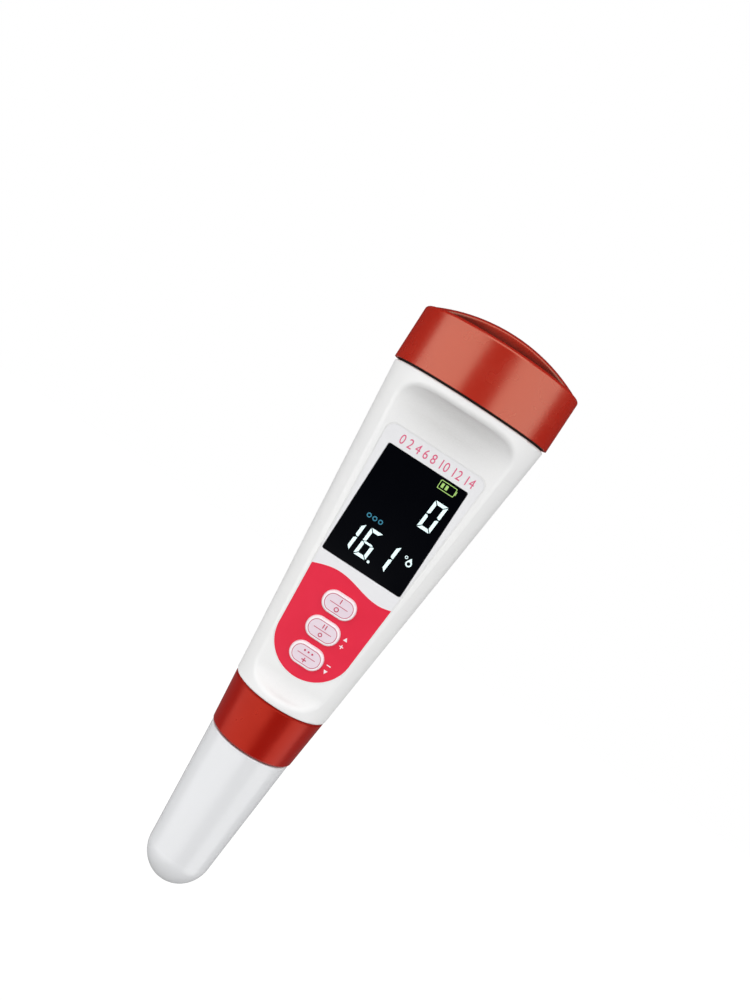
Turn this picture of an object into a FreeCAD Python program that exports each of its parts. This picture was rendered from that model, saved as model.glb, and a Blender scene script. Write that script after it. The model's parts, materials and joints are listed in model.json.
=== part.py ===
"""Water quality test pen: a conical hand meter with a display, three keys and a plug-in probe.

The pen stands upright along Z, the display faces -Y, and the origin lies on the pen's axis at the
housing's lower face, where the lock ring seats. Lengths are in millimetres and angles in degrees.
"""

import FreeCAD, Part
import Sketcher
import math
import os

V = FreeCAD.Vector

# Driving dimensions: alias, value, what it measures
SIZES = [
    ("housing_low_radius", 11.9, "cone radius at the ring seat"),
    ("wall", 1.8, "moulded wall behind the facet"),
    ("core_low_radius", 10.2, "cavity radius at its floor"),
    ("floor_height", 4.0, "cavity floor above the ring seat"),
    ("rim_round", 0.5, "rounding of the housing's end rims"),
    ("facet_depth", 10.9, "axis to facet at the display's centre"),
    ("facet_tilt", 2.8, "lean of the facet against the axis"),
    ("display_height", 48.6, "ring seat to the display's centre"),
    ("head_length", 29.8, "display's centre to the cap seam"),
    ("cove_radius", 5.5, "thumb cove above the facet"),
    ("cove_margin", 2.2, "thumb cove to the cap seam"),
    ("runout_radius", 4.6, "run-out below the facet"),
    ("runout_margin", 6.4, "ring seat to the straight facet's end"),
    ("facet_round", 1.4, "rounding of the facet's border"),
    ("label_recess", 0.4, "depth of the label's seat"),
    ("label_film_thick", 0.3, "printed film"),
    ("label_gap", 0.2, "gap round the film"),
    ("label_side", 2.7, "label beside the window at the label's top"),
    ("label_draw_in", 3.3, "how much narrower the label gets on each side down to its round end"),
    ("label_margin", 4.1, "straight facet above the label"),
    ("label_foot", 0.8, "straight facet below the label's round end"),
    ("label_corner", 2.2, "rounding of the label's top corners"),
    ("window_width", 20.0, "display window"),
    ("window_height", 27.0, "display window"),
    ("window_thick", 1.1, "display window"),
    ("window_corner", 0.5, "corner rounding of the window"),
    ("ledge", 1.2, "ledge that the window rests on"),
    ("fit_gap", 0.15, "gap round a seated piece"),
    ("lcd_width", 18.8, "display glass"),
    ("lcd_height", 26.4, "display glass"),
    ("lcd_thick", 2.5, "display glass"),
    ("lcd_depth", 2.0, "facet surface to display glass"),
    ("backlight_thick", 1.2, "light guide"),
    ("strip_height", 2.4, "rubber connector under the display glass"),
    ("board_depth", 6.2, "facet surface to circuit board"),
    ("board_thick", 1.0, "circuit board"),
    ("board_width", 19.0, "circuit board"),
    ("board_corner", 1.5, "corner rounding of the circuit board"),
    ("board_margin", 5.8, "circuit board to the cap seam"),
    ("board_foot", 1.2, "circuit board to the straight facet's end"),
    ("chip_side", 8.0, "controller chip"),
    ("chip_thick", 1.1, "both chips"),
    ("chip_height", 4.0, "controller chip's centre above the display's centre"),
    ("amplifier_side", 5.0, "signal chip"),
    ("amplifier_drop", 24.0, "signal chip's centre below the display's centre"),
    ("key_width", 7.8, "key cap"),
    ("key_height", 5.0, "key cap"),
    ("key_corner", 2.42, "corner rounding of the key cap"),
    ("key_pitch", 6.7, "distance between key centres"),
    ("key_margin", 6.5, "last key's centre to the straight facet's end"),
    ("key_round", 0.25, "rounding of a key's front edge"),
    ("key_proud", 0.6, "key above the facet"),
    ("key_gap", 0.2, "gap round a key"),
    ("key_flange", 0.6, "flange round the foot of a key"),
    ("key_flange_thick", 0.7, "flange at the foot of a key"),
    ("key_travel", 0.4, "travel of a key"),
    ("switch_side", 4.5, "tact switch body"),
    ("switch_body", 2.0, "tact switch body height"),
    ("switch_corner", 0.4, "corner rounding of a tact switch"),
    ("plunger_radius", 1.1, "tact switch plunger"),
    ("plunger_inside", 0.8, "plunger inside the switch body"),
    ("rail_thick", 0.8, "side rail of the inner frame"),
    ("rail_lip", 1.1, "how far the rails reach past the board"),
    ("frame_depth", 9.2, "facet surface to the frame's back plate"),
    ("frame_back", 1.2, "back plate of the inner frame"),
    ("frame_foot", 6.5, "inner frame's end above the circuit board's end"),
    ("neck_gap", 0.2, "gap between the threaded neck and the battery cap"),
    ("neck_wall", 1.6, "wall of the threaded neck"),
    ("neck_height", 7.4, "threaded neck above the seam"),
    ("seam", 0.45, "gap between battery cap and housing"),
    ("cap_radius", 20.0, "battery cap outside"),
    ("cap_wall", 1.6, "wall of the battery cap"),
    ("cap_step", 0.5, "battery cap's radius over the housing's at the seam"),
    ("cap_side", 12.5, "battery cap's straight side"),
    ("cap_crown", 5.3, "rise of the dome above the side"),
    ("cap_round", 0.9, "rounding of the cap's upper edge"),
    ("cap_shoulder", 0.68, "rise of that rounding"),
    ("cap_roof", 1.7, "roof under the finger recess"),
    ("grip_width", 31.0, "finger recess, tip to tip"),
    ("grip_wall", 1.3, "wall in front of the finger recess"),
    ("grip_round", 0.6, "rounding of the ridge between the finger recesses"),
    ("grip_sink", 1.4, "recess floor below the cap's side edge"),
    ("seal_section", 0.35, "section radius of the neck's seal ring"),
    ("lead_in", 0.9, "lead-in chamfer of the battery cap's mouth"),
    ("cell_radius", 5.8, "button cell"),
    ("cell_thick", 5.4, "button cell"),
    ("cell_gap", 0.15, "gap round a cell"),
    ("cell_web", 0.7, "web of the tray between two cells"),
    ("tray_floor", 1.0, "floor of the battery tray"),
    ("tray_rise", 0.6, "top of the tray's floor above the cap seam"),
    ("contact_thick", 0.3, "contact sheet"),
    ("contact_corner", 2.6, "corner rounding of the upper contact strips"),
    ("contact_disc", 4.1, "radius of the lower contacts"),
    ("cell_button", 4.35, "radius of a cell's negative button"),
    ("cover_thick", 1.0, "cover over the cells"),
    ("pad_thick", 1.6, "pressure pad under the cap's roof"),
    ("pad_margin", 1.0, "gap between the pressure pad and the neck"),
    ("spigot_radius", 9.3, "threaded spigot for the lock ring"),
    ("spigot_length", 7.8, "threaded spigot for the lock ring"),
    ("socket_bore", 7.2, "bore that takes the probe's plug"),
    ("ring_length", 12.7, "lock ring"),
    ("ring_round", 0.4, "rounding of the lock ring's outer edges"),
    ("ring_top_radius", 11.7, "lock ring outside at the housing"),
    ("ring_low_radius", 10.5, "lock ring outside at the probe"),
    ("ring_bore", 9.5, "lock ring inside"),
    ("ring_mouth", 8.8, "opening in the lock ring's lip"),
    ("flange_thick", 1.8, "probe flange"),
    ("slip_gap", 0.1, "gap of a sliding fit"),
    ("plug_length", 9.5, "probe plug above its flange"),
    ("collar_radius", 8.6, "probe collar that carries the protective cap"),
    ("collar_length", 7.0, "probe collar below its flange"),
    ("stem_radius", 6.2, "probe stem"),
    ("stem_length", 27.0, "probe stem below its collar"),
    ("guard_depth", 10.5, "open end of the stem round the bulb"),
    ("guard_wall", 1.1, "wall of the open end"),
    ("guard_slot", 4.2, "width of the slots in the open end"),
    ("shield_gap", 0.3, "gap between lock ring and protective cap"),
    ("shield_top_radius", 10.2, "protective cap outside at its mouth"),
    ("shield_low_radius", 7.9, "radius of the protective cap's round end"),
    ("shield_length", 38.2, "protective cap"),
    ("shield_wall", 1.2, "protective cap"),
    ("shield_round", 0.3, "rounding of the protective cap's mouth"),
    ("gasket_section", 0.7, "section radius of the probe's seal rings"),
    ("gasket_above", 4.6, "plug seal above the probe's flange"),
    ("gasket_below", 5.2, "collar seal below the probe's flange"),
    ("seal_gap", 0.05, "gap round a seal ring"),
    ("bulb_radius", 2.3, "glass bulb"),
    ("glass_wall", 0.4, "wall of the bulb and its stem"),
    ("wire_radius", 0.3, "electrode wire in the bulb"),
    ("bulb_drop", 7.2, "bulb's centre below the guard's floor"),
    ("glass_radius", 1.6, "glass stem of the bulb"),
    ("pin_radius", 0.7, "conductivity pins and probe contacts"),
    ("pin_spread", 3.9, "pins' distance from the axis"),
    ("pin_reach", 6.0, "conductivity pins below the guard's floor"),
    ("contact_reach", 4.0, "probe contacts above the plug"),
    ("sensor_radius", 0.85, "temperature sensor and reference junction"),
    ("sensor_short", 1.0, "how much shorter the temperature sensor is than the conductivity pins"),
    ("junction_proud", 0.4, "reference junction below the guard's floor"),
    ("sponge_gap", 0.4, "gap between the guard and the wet sponge"),
    ("socket_height", 5.4, "probe socket"),
    ("socket_flange", 8.0, "flange of the probe socket on the cavity floor"),
    ("socket_rim", 1.2, "thickness of that flange"),
    ("screw_radius", 0.8, "board screws"),
    ("screw_head", 1.6, "head of a board screw"),
    ("screw_margin", 3.6, "display glass to the upper screw's head"),
    ("screw_inset", 3.5, "circuit board's side to the lower screw's centre"),
    ("boss_radius", 2.2, "bosses for the board screws"),
    ("cell_step", 0.4, "height of a cell's negative button"),
    ("tail_width", 0.5, "tails of the probe socket"),
    ("tail_length", 4.0, "tails of the probe socket"),
    ("tail_pitch", 2.54, "distance between the socket's tails"),
    ("tail_inset", 1.8, "tails' centres above the circuit board's end"),
    ("blade_width", 2.0, "battery blades"),
    ("blade_overlap", 3.0, "battery blades over the circuit board"),
]

doc = FreeCAD.newDocument("water_test_pen")
sheet = doc.addObject("Spreadsheet::Sheet", "Sizes")
for row, (alias, value, note) in enumerate(SIZES, start=1):
    sheet.set(f"A{row}", str(value))
    sheet.setAlias(f"A{row}", alias)
    sheet.set(f"B{row}", note)
doc.recompute()
ALIASES = sorted((alias for alias, _, _ in SIZES), key=len, reverse=True)

# Heights and radii that several pieces share, as formulas of the driving dimensions
SEAT = "(display_height + head_length)"
TOP_RADIUS = "(cap_radius - cap_step)"
TAPER = f"(({TOP_RADIUS} - housing_low_radius) / ({SEAT} - 2 * rim_round))"
CAP_BORE = "(cap_radius - cap_wall)"
NECK_RADIUS = f"({CAP_BORE} - neck_gap)"
NECK_BORE = f"({NECK_RADIUS} - neck_wall)"
FACET_ABOVE = "(head_length - cove_margin - cove_radius)"
FACET_BELOW = "(display_height - runout_margin)"
LABEL_HALF_TOP = "(window_width / 2 + label_side)"
LABEL_HALF_LOW = f"({LABEL_HALF_TOP} - label_draw_in)"
LABEL_ABOVE = f"({FACET_ABOVE} - label_margin)"
LABEL_STRAIGHT = f"({FACET_BELOW} - label_foot - {LABEL_HALF_LOW})"
BOARD_ABOVE = "(head_length - board_margin)"
BOARD_BELOW = f"({FACET_BELOW} - board_foot)"
CAP_LOW = f"({SEAT} + seam)"
CAP_EDGE = f"({CAP_LOW} + cap_side)"
RECESS_FLOOR = f"({CAP_EDGE} - grip_sink)"
CAP_ROOF = f"({RECESS_FLOOR} - cap_roof)"
TRAY_LOW = f"({SEAT} + tray_rise - tray_floor)"
CELL_LOW = f"({SEAT} + tray_rise + contact_thick)"
CELL_OFFSET = "(cell_radius + cell_gap + cell_web / 2)"
CELL_TOP = f"({CELL_LOW} + cell_thick)"
COVER_LOW = f"({CELL_TOP} + contact_thick)"
COVER_TOP = f"({COVER_LOW} + cover_thick)"
FLANGE_TOP = "(-spigot_length - slip_gap)"
FLANGE_LOW = f"({FLANGE_TOP} - flange_thick)"
COLLAR_LOW = f"({FLANGE_LOW} - collar_length)"
STEM_LOW = f"({COLLAR_LOW} - stem_length)"
GUARD_FLOOR = f"({STEM_LOW} + guard_depth)"
PLUG_TOP = f"({FLANGE_TOP} + plug_length)"
KEY_FOOT = "wall + slip_gap + key_flange_thick"
SHIELD_TOP = "(-ring_length - shield_gap)"
SHIELD_LOW = f"({SHIELD_TOP} - shield_length)"
SHIELD_CENTRE = f"({SHIELD_LOW} + shield_low_radius)"
SHIELD_TAPER = f"((shield_top_radius - shield_low_radius) / ({SHIELD_TOP} - {SHIELD_CENTRE}))"
COLLAR_SEAL = f"({FLANGE_LOW} - gasket_below)"
PIN_LOW = f"({GUARD_FLOOR} - pin_reach)"
CONTACT_TOP = f"({PLUG_TOP} + contact_reach)"
DIAGONAL = math.sqrt(0.5)
KEY_COUNT = 3
CONTACT_SPOTS = ((DIAGONAL, DIAGONAL), (-DIAGONAL, DIAGONAL), (-DIAGONAL, -DIAGONAL), (DIAGONAL, -DIAGONAL))

# Pins on the probe: label, place across and back in pin spreads, lower end, upper end, radius
SENSOR_PINS = [
    ("left_electrode", -1, 0, PIN_LOW, GUARD_FLOOR, "pin_radius"),
    ("right_electrode", 1, 0, PIN_LOW, GUARD_FLOOR, "pin_radius"),
    ("temperature_sensor", 0, 1, f"({PIN_LOW} + sensor_short)", GUARD_FLOOR, "sensor_radius"),
    ("reference_junction", 0, -1, f"({GUARD_FLOOR} - junction_proud)", GUARD_FLOOR, "sensor_radius"),
    ("bulb_wire", 0, 0, f"({GUARD_FLOOR} - bulb_drop)", GUARD_FLOOR, "wire_radius"),
]
for number, (right, back) in enumerate(CONTACT_SPOTS, start=1):
    SENSOR_PINS.append((f"probe_contact_{number}", right, back, PLUG_TOP, CONTACT_TOP, "pin_radius"))


def bound(text):
    """The formula with each alias written as the spreadsheet's cell."""
    out = []
    word = ""
    for letter in str(text) + " ":
        if letter.isalnum() or letter == "_":
            word += letter
            continue
        out.append(f"Sizes.{word}" if word in ALIASES else word)
        out.append(letter)
        word = ""
    return "".join(out).strip()


def value_of(text):
    """The formula's value in millimetres or degrees."""
    found = sheet.evalExpression(bound(text))
    return float(getattr(found, "Value", found))


def bind(thing, prop, formula):
    """Ties a property to a formula of the driving dimensions."""
    thing.setExpression(prop, bound(formula))


def screw_spots():
    """Where the two board screws sit: above the display glass and beside the middle key."""
    return (("0", "lcd_height / 2 + screw_margin + screw_head"),
            ("board_width / 2 - screw_inset", key_height_at(1)))


def new_body(label):
    """An empty body that becomes the sub-part of that name."""
    body = doc.addObject("PartDesign::Body", label)
    body.Label = label
    return body


def set_on_facet(thing):
    """Places a piece in the facet's own frame: X across, Z up the facet, +Y into the pen."""
    thing.Placement = FreeCAD.Placement(V(0, 0, 0), FreeCAD.Rotation(V(1, 0, 0), 1))
    bind(thing, "Placement.Base.y", "-facet_depth")
    bind(thing, "Placement.Base.z", "display_height")
    bind(thing, "Placement.Rotation.Angle", "facet_tilt")


def new_sketch(body, plane, shift=None, tilt=None):
    """A sketch on one of the body's origin planes, moved by three formulas and leaned by one."""
    sketch = body.newObject("Sketcher::SketchObject", f"{body.Name}_sketch")
    base = [item for item in body.Origin.OriginFeatures if item.Role == plane][0]
    sketch.AttachmentSupport = [(base, "")]
    sketch.MapMode = "FlatFace"
    axis = V(1, 0, 0) if plane == "XZ_Plane" else V(0, 0, 1)
    sketch.AttachmentOffset = FreeCAD.Placement(V(0, 0, 0), FreeCAD.Rotation(axis, 1 if tilt else 0))
    for name, formula in zip("xyz", shift or ()):
        bind(sketch, f"AttachmentOffset.Base.{name}", formula)
    if tilt:
        bind(sketch, "AttachmentOffset.Rotation.Angle", tilt)
    return sketch


def centre_of(start, end, radius, side):
    """Centre of the arc from start to end, to the left of the way for side 1, to the right for -1."""
    middle = (start + end) * 0.5
    chord = end - start
    half = chord.Length / 2
    reach = math.sqrt(max(radius * radius - half * half, 0))
    left = V(-chord.y, chord.x, 0).normalize()
    return middle + left * reach * side


def draw(sketch, outline):
    """Draws a closed outline. Each entry is x, y and, where an arc follows, its radius and side."""
    spots = [V(value_of(entry[0]), value_of(entry[1]), 0) for entry in outline]
    count = len(outline)
    first = sketch.GeometryCount
    for k, entry in enumerate(outline):
        start = spots[k]
        end = spots[(k + 1) % count]
        if len(entry) == 2:
            sketch.addGeometry(Part.LineSegment(start, end), False)
            continue
        radius = value_of(entry[2])
        centre = centre_of(start, end, radius, entry[3])
        circle = Part.Circle(centre, V(0, 0, 1), radius)
        low, high = (start, end) if entry[3] > 0 else (end, start)
        angles = [math.atan2(spot.y - centre.y, spot.x - centre.x) for spot in (low, high)]
        if angles[1] < angles[0]:
            angles[1] += 2 * math.pi
        sketch.addGeometry(Part.ArcOfCircle(circle, angles[0], angles[1]), False)
        place = sketch.addConstraint(Sketcher.Constraint("Radius", first + k, radius))
        bind(sketch, f"Constraints[{place}]", entry[2])

    def ends(k):
        turned = len(outline[k]) > 2 and outline[k][3] < 0
        return (2, 1) if turned else (1, 2)

    for k, entry in enumerate(outline):
        after = (k + 1) % count
        joint = Sketcher.Constraint("Coincident", first + k, ends(k)[1], first + after, ends(after)[0])
        sketch.addConstraint(joint)
        ways = (("DistanceX", spots[k].x, entry[0]), ("DistanceY", spots[k].y, entry[1]))
        for kind, number, formula in ways:
            place = sketch.addConstraint(Sketcher.Constraint(kind, first + k, ends(k)[0], number))
            bind(sketch, f"Constraints[{place}]", formula)


def draw_circle(sketch, x, y, radius):
    """Draws a full circle whose centre and radius are formulas."""
    spot = V(value_of(x), value_of(y), 0)
    ring = sketch.addGeometry(Part.Circle(spot, V(0, 0, 1), value_of(radius)), False)
    for kind, number, formula in (("DistanceX", spot.x, x), ("DistanceY", spot.y, y)):
        place = sketch.addConstraint(Sketcher.Constraint(kind, ring, 3, number))
        bind(sketch, f"Constraints[{place}]", formula)
    place = sketch.addConstraint(Sketcher.Constraint("Radius", ring, value_of(radius)))
    bind(sketch, f"Constraints[{place}]", radius)


def draw_rectangle(sketch, x, y, width, height, corner=None):
    """Draws a rectangle about a centre, with round corners where a radius is given."""
    left, right = f"({x}) - ({width}) / 2", f"({x}) + ({width}) / 2"
    low, high = f"({y}) - ({height}) / 2", f"({y}) + ({height}) / 2"
    if corner is None:
        draw(sketch, [(left, low), (right, low), (right, high), (left, high)])
        return
    draw(sketch, [
        (f"{left} + {corner}", low),
        (f"{right} - {corner}", low, corner, 1),
        (right, f"{low} + {corner}"),
        (right, f"{high} - {corner}", corner, 1),
        (f"{right} - {corner}", high),
        (f"{left} + {corner}", high, corner, 1),
        (left, f"{high} - {corner}"),
        (left, f"{low} + {corner}", corner, 1),
    ])


def revolve(body, outline):
    """Turns an outline of radius and height about the pen's axis."""
    sketch = new_sketch(body, "XZ_Plane")
    draw(sketch, outline)
    turned = body.newObject("PartDesign::Revolution", f"{body.Name}_turned")
    turned.Profile = sketch
    turned.ReferenceAxis = (sketch, ["V_Axis"])
    turned.Angle = 360
    return turned


def groove(body, outline):
    """Turns away an outline of radius and height about the pen's axis."""
    sketch = new_sketch(body, "XZ_Plane")
    draw(sketch, outline)
    cut = body.newObject("PartDesign::Groove", f"{body.Name}_groove")
    cut.Profile = sketch
    cut.ReferenceAxis = (sketch, ["V_Axis"])
    cut.Angle = 360
    return cut


def pad(body, sketch, length, reverse=False, both=False):
    """Raises a sketch by a length."""
    raised = body.newObject("PartDesign::Pad", f"{body.Name}_pad")
    raised.Profile = sketch
    bind(raised, "Length", length)
    raised.Reversed = reverse
    if both:
        raised.SideType = "Symmetric"
    return raised


def pocket(body, sketch, depth, reverse=False, both=False):
    """Cuts a sketch away by a depth."""
    cut = body.newObject("PartDesign::Pocket", f"{body.Name}_pocket")
    cut.Profile = sketch
    bind(cut, "Length", depth)
    cut.Reversed = reverse
    if both:
        cut.SideType = "Symmetric"
    return cut


def round_edges(body, feature, pick, radius, chamfer=False):
    """Rounds or chamfers the edges of the last feature that pick accepts."""
    doc.recompute()
    names = [f"Edge{k}" for k, edge in enumerate(feature.Shape.Edges, start=1) if pick(edge)]
    kind = "PartDesign::Chamfer" if chamfer else "PartDesign::Fillet"
    rounded = body.newObject(kind, f"{body.Name}_rounded")
    rounded.Base = (feature, names)
    bind(rounded, "Size" if chamfer else "Radius", radius)
    return rounded


def facet_cutter(body, inset):
    """Cuts the front facet, its cove above and its run-out below, deeper by an inset."""
    sketch = new_sketch(body, "YZ_Plane", ("-facet_depth", "display_height", "0"), "facet_tilt")
    cove = f"(cove_radius + {inset})"
    runout = f"(runout_radius + {inset})"
    outside = "(-cap_radius)"
    draw(sketch, [
        (inset, f"-{FACET_BELOW}"),
        (inset, FACET_ABOVE, cove, 1),
        ("-cove_radius", f"{FACET_ABOVE} + {cove}"),
        (outside, f"{FACET_ABOVE} + {cove}"),
        (outside, f"-{FACET_BELOW} - {runout}"),
        ("-runout_radius", f"-{FACET_BELOW} - {runout}", runout, 1),
    ])
    return pocket(body, sketch, "4 * cap_radius", both=True)


def label_outline(sketch, inset):
    """The label's outline: round upper corners, tapering sides and a round lower end."""
    top = f"{LABEL_ABOVE} - {inset}"
    half_top = f"({LABEL_HALF_TOP} - {inset})"
    half_low = f"({LABEL_HALF_LOW} - {inset})"
    low = f"-{LABEL_STRAIGHT}"
    slope = f"(label_draw_in / ({LABEL_ABOVE} + {LABEL_STRAIGHT}) * label_corner)"
    draw(sketch, [
        (f"-{half_low}", low, half_low, 1),
        ("0", f"{low} - {half_low}", half_low, 1),
        (half_low, low),
        (f"{half_top} - {slope}", f"{top} - label_corner", "label_corner", 1),
        (f"{half_top} - label_corner", top),
        (f"-{half_top} + label_corner", top, "label_corner", 1),
        (f"-{half_top} + {slope}", f"{top} - label_corner"),
    ])


def key_height_at(number):
    """Height of a key's centre on the facet, counted from the display's centre."""
    return f"(key_margin - {FACET_BELOW} + {KEY_COUNT - 1 - number} * key_pitch)"


def make_housing():
    """The moulded housing: outer form with its facet, seats and openings, less its core."""
    outer = new_body("housing_outer")
    turned = revolve(outer, [
        ("0", "-spigot_length"),
        ("spigot_radius", "-spigot_length"),
        ("spigot_radius", "0"),
        ("housing_low_radius - rim_round", "0", "rim_round", 1),
        ("housing_low_radius", "rim_round"),
        (TOP_RADIUS, f"{SEAT} - rim_round", "rim_round", 1),
        (f"{TOP_RADIUS} - rim_round", SEAT),
        (NECK_RADIUS, SEAT),
        (NECK_RADIUS, f"{SEAT} + neck_height"),
        ("0", f"{SEAT} + neck_height"),
    ])
    facet = facet_cutter(outer, "0")
    round_edges(outer, facet, is_facet_border, "facet_round")
    seat = new_sketch(outer, "XZ_Plane", ("0", "display_height", "facet_depth"), "facet_tilt")
    label_outline(seat, "0")
    pocket(outer, seat, "label_recess")
    window = new_sketch(outer, "XZ_Plane", ("0", "display_height", "facet_depth"), "facet_tilt")
    grown = "2 * fit_gap"
    draw_rectangle(window, "0", "0", f"window_width + {grown}", f"window_height + {grown}", "window_corner")
    pocket(outer, window, "fit_gap + window_thick")
    view = new_sketch(outer, "XZ_Plane", ("0", "display_height", "facet_depth"), "facet_tilt")
    draw_rectangle(view, "0", "0", "window_width - 2 * ledge", "window_height - 2 * ledge", "window_corner")
    pocket(outer, view, "2 * wall")
    keys = new_sketch(outer, "XZ_Plane", ("0", "display_height", "facet_depth"), "facet_tilt")
    wide, tall = "key_width + 2 * key_gap", "key_height + 2 * key_gap"
    for number in range(KEY_COUNT):
        draw_rectangle(keys, "0", key_height_at(number), wide, tall, "(key_corner + key_gap)")
    pocket(outer, keys, "2 * wall")

    core = new_body("housing_core")
    revolve(core, [
        ("0", "floor_height"),
        ("core_low_radius", "floor_height"),
        (NECK_BORE, SEAT),
        (NECK_BORE, f"{SEAT} + 2 * neck_height"),
        ("0", f"{SEAT} + 2 * neck_height"),
    ])
    facet_cutter(core, "wall")
    bore = doc.addObject("Part::Cylinder", "housing_bore")
    bind(bore, "Radius", "socket_bore")
    bind(bore, "Height", "spigot_length + 2 * floor_height")
    bind(bore, "Placement.Base.z", "-spigot_length - floor_height / 2")
    hollow = doc.addObject("Part::MultiFuse", "housing_hollow")
    hollow.Shapes = [core, bore]
    return cut_of("housing", outer, hollow)


def is_facet_border(edge):
    """True for the soft edges between the facet's surfaces and the housing's cone."""
    middle = edge.valueAt((edge.FirstParameter + edge.LastParameter) / 2)
    cone = value_of(f"housing_low_radius + {TAPER} * ({middle.z} - rim_round)")
    on_cone = abs(math.hypot(middle.x, middle.y) - cone) < 0.02
    between_rims = value_of("rim_round") + 0.1 < middle.z < value_of(f"{SEAT} - rim_round") - 0.1
    return on_cone and middle.y < -1 and between_rims


def cut_of(label, base, tool):
    """The base less the tool, as a sub-part of that name."""
    made = doc.addObject("Part::Cut", label)
    made.Label = label
    made.Base = base
    made.Tool = tool
    return made


def make_label_film():
    """The printed film in its seat, open over the window and the keys."""
    film = new_body("label_film")
    set_on_facet(film)
    sketch = new_sketch(film, "XZ_Plane", ("0", "0", "-label_recess"))
    label_outline(sketch, "label_gap")
    grown = "2 * fit_gap"
    draw_rectangle(sketch, "0", "0", f"window_width + {grown}", f"window_height + {grown}", "window_corner")
    wide, tall = "key_width + 2 * key_gap", "key_height + 2 * key_gap"
    for number in range(KEY_COUNT):
        draw_rectangle(sketch, "0", key_height_at(number), wide, tall, "(key_corner + key_gap)")
    pad(film, sketch, "label_film_thick")
    return film


def make_slab(label, width, height, near, thick, x="0", z="0", corner=None):
    """A flat piece parallel to the facet, from a depth below its surface."""
    slab = new_body(label)
    set_on_facet(slab)
    sketch = new_sketch(slab, "XZ_Plane", ("0", "0", f"-({near})"))
    draw_rectangle(sketch, x, z, width, height, corner)
    pad(slab, sketch, thick, reverse=True)
    return slab


def make_display():
    """Window, display glass, light guide, frame and the rubber connector under the glass."""
    window = make_slab("display_window", "window_width", "window_height", "fit_gap", "window_thick",
                       corner="window_corner")
    glass = make_slab("lcd_glass", "lcd_width", "lcd_height", "lcd_depth", "lcd_thick")
    guide_width = "(lcd_width - 2 * ledge)"
    guide_height = "(lcd_height - strip_height - 2 * ledge)"
    guide = make_slab("backlight", guide_width, guide_height, "lcd_depth + lcd_thick", "backlight_thick",
                      z="strip_height / 2")
    gap = "board_depth - lcd_depth - lcd_thick"
    rim = make_slab("lcd_frame", "lcd_width", "lcd_height - strip_height", "lcd_depth + lcd_thick", gap,
                    z="strip_height / 2")
    inside = new_sketch(rim, "XZ_Plane", ("0", "0", "-(lcd_depth + lcd_thick)"))
    draw_rectangle(inside, "0", "strip_height / 2", f"{guide_width} + 2 * fit_gap",
                   f"{guide_height} + 2 * fit_gap")
    pocket(rim, inside, "board_depth")
    strip = make_slab("lcd_connector", guide_width, "strip_height - 2 * fit_gap", "lcd_depth + lcd_thick",
                      gap, z="(strip_height - lcd_height) / 2")
    return [window, glass, guide, rim, strip]


def make_board():
    """The circuit board with its chips and the three tact switches."""
    board = make_slab("main_board", "board_width", f"{BOARD_ABOVE} + {BOARD_BELOW}", "board_depth",
                      "board_thick", z=f"({BOARD_ABOVE} - {BOARD_BELOW}) / 2", corner="board_corner")
    behind = "board_depth + board_thick"
    chip = make_slab("controller_chip", "chip_side", "chip_side", behind, "chip_thick", z="chip_height")
    amplifier = make_slab("signal_chip", "amplifier_side", "amplifier_side", behind, "chip_thick",
                          z="-amplifier_drop")
    holes = new_sketch(board, "XZ_Plane", ("0", "0", "-board_depth"))
    for across, level in screw_spots():
        draw_circle(holes, across, level, "screw_radius + slip_gap")
    pocket(board, holes, "2 * board_thick")
    made = [board, chip, amplifier]
    for number, label in enumerate(("power_switch", "plus_switch", "minus_switch")):
        level = key_height_at(number)
        near = "board_depth - switch_body"
        switch = make_slab(label, "switch_side", "switch_side", near, "switch_body", z=level,
                           corner="switch_corner")
        well = new_sketch(switch, "XZ_Plane", ("0", "0", f"-({near})"))
        draw_circle(well, "0", level, "plunger_radius + seal_gap")
        pocket(switch, well, "plunger_inside + key_travel + slip_gap")
        made.append(switch)
    return made


def make_screws():
    """Two screws that hold the board on the inner frame's bosses."""
    screws = new_body("board_screws")
    set_on_facet(screws)
    heads = new_sketch(screws, "XZ_Plane", ("0", "0", "-board_depth"))
    shanks = new_sketch(screws, "XZ_Plane", ("0", "0", "-board_depth"))
    for across, level in screw_spots():
        draw_circle(heads, across, level, "screw_head")
        draw_circle(shanks, across, level, "screw_radius")
    pad(screws, heads, "screw_radius")
    pad(screws, shanks, "frame_depth - board_depth", reverse=True)
    return screws


def make_keys():
    """Three key caps: a crowned cap through the wall on a flange behind it."""
    made = []
    for number, label in enumerate(("power_key", "plus_key", "minus_key")):
        level = key_height_at(number)
        key = new_body(label)
        set_on_facet(key)
        front = new_sketch(key, "XZ_Plane", ("0", "0", "key_proud"))
        draw_rectangle(front, "0", level, "key_width", "key_height", "key_corner")
        cap = pad(key, front, "key_proud + wall + slip_gap", reverse=True)
        round_edges(key, cap, is_key_crown, "key_round")
        back = new_sketch(key, "XZ_Plane", ("0", "0", "-(wall + slip_gap)"))
        draw_rectangle(back, "0", level, "key_width + 2 * key_flange", "key_height + 2 * key_flange",
                       "(key_corner + key_flange)")
        pad(key, back, "key_flange_thick", reverse=True)
        made.append(key)
        plunger = new_body(label.replace("key", "plunger"))
        set_on_facet(plunger)
        stem = new_sketch(plunger, "XZ_Plane", ("0", "0", f"-({KEY_FOOT})"))
        draw_circle(stem, "0", level, "plunger_radius")
        pad(plunger, stem, f"board_depth - switch_body + plunger_inside - ({KEY_FOOT})", reverse=True)
        made.append(plunger)
    return made


def is_key_crown(edge):
    """True for the edges round a key's front face."""
    return edge.BoundBox.YMax < value_of("key_round - key_proud") - 0.01


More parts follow.
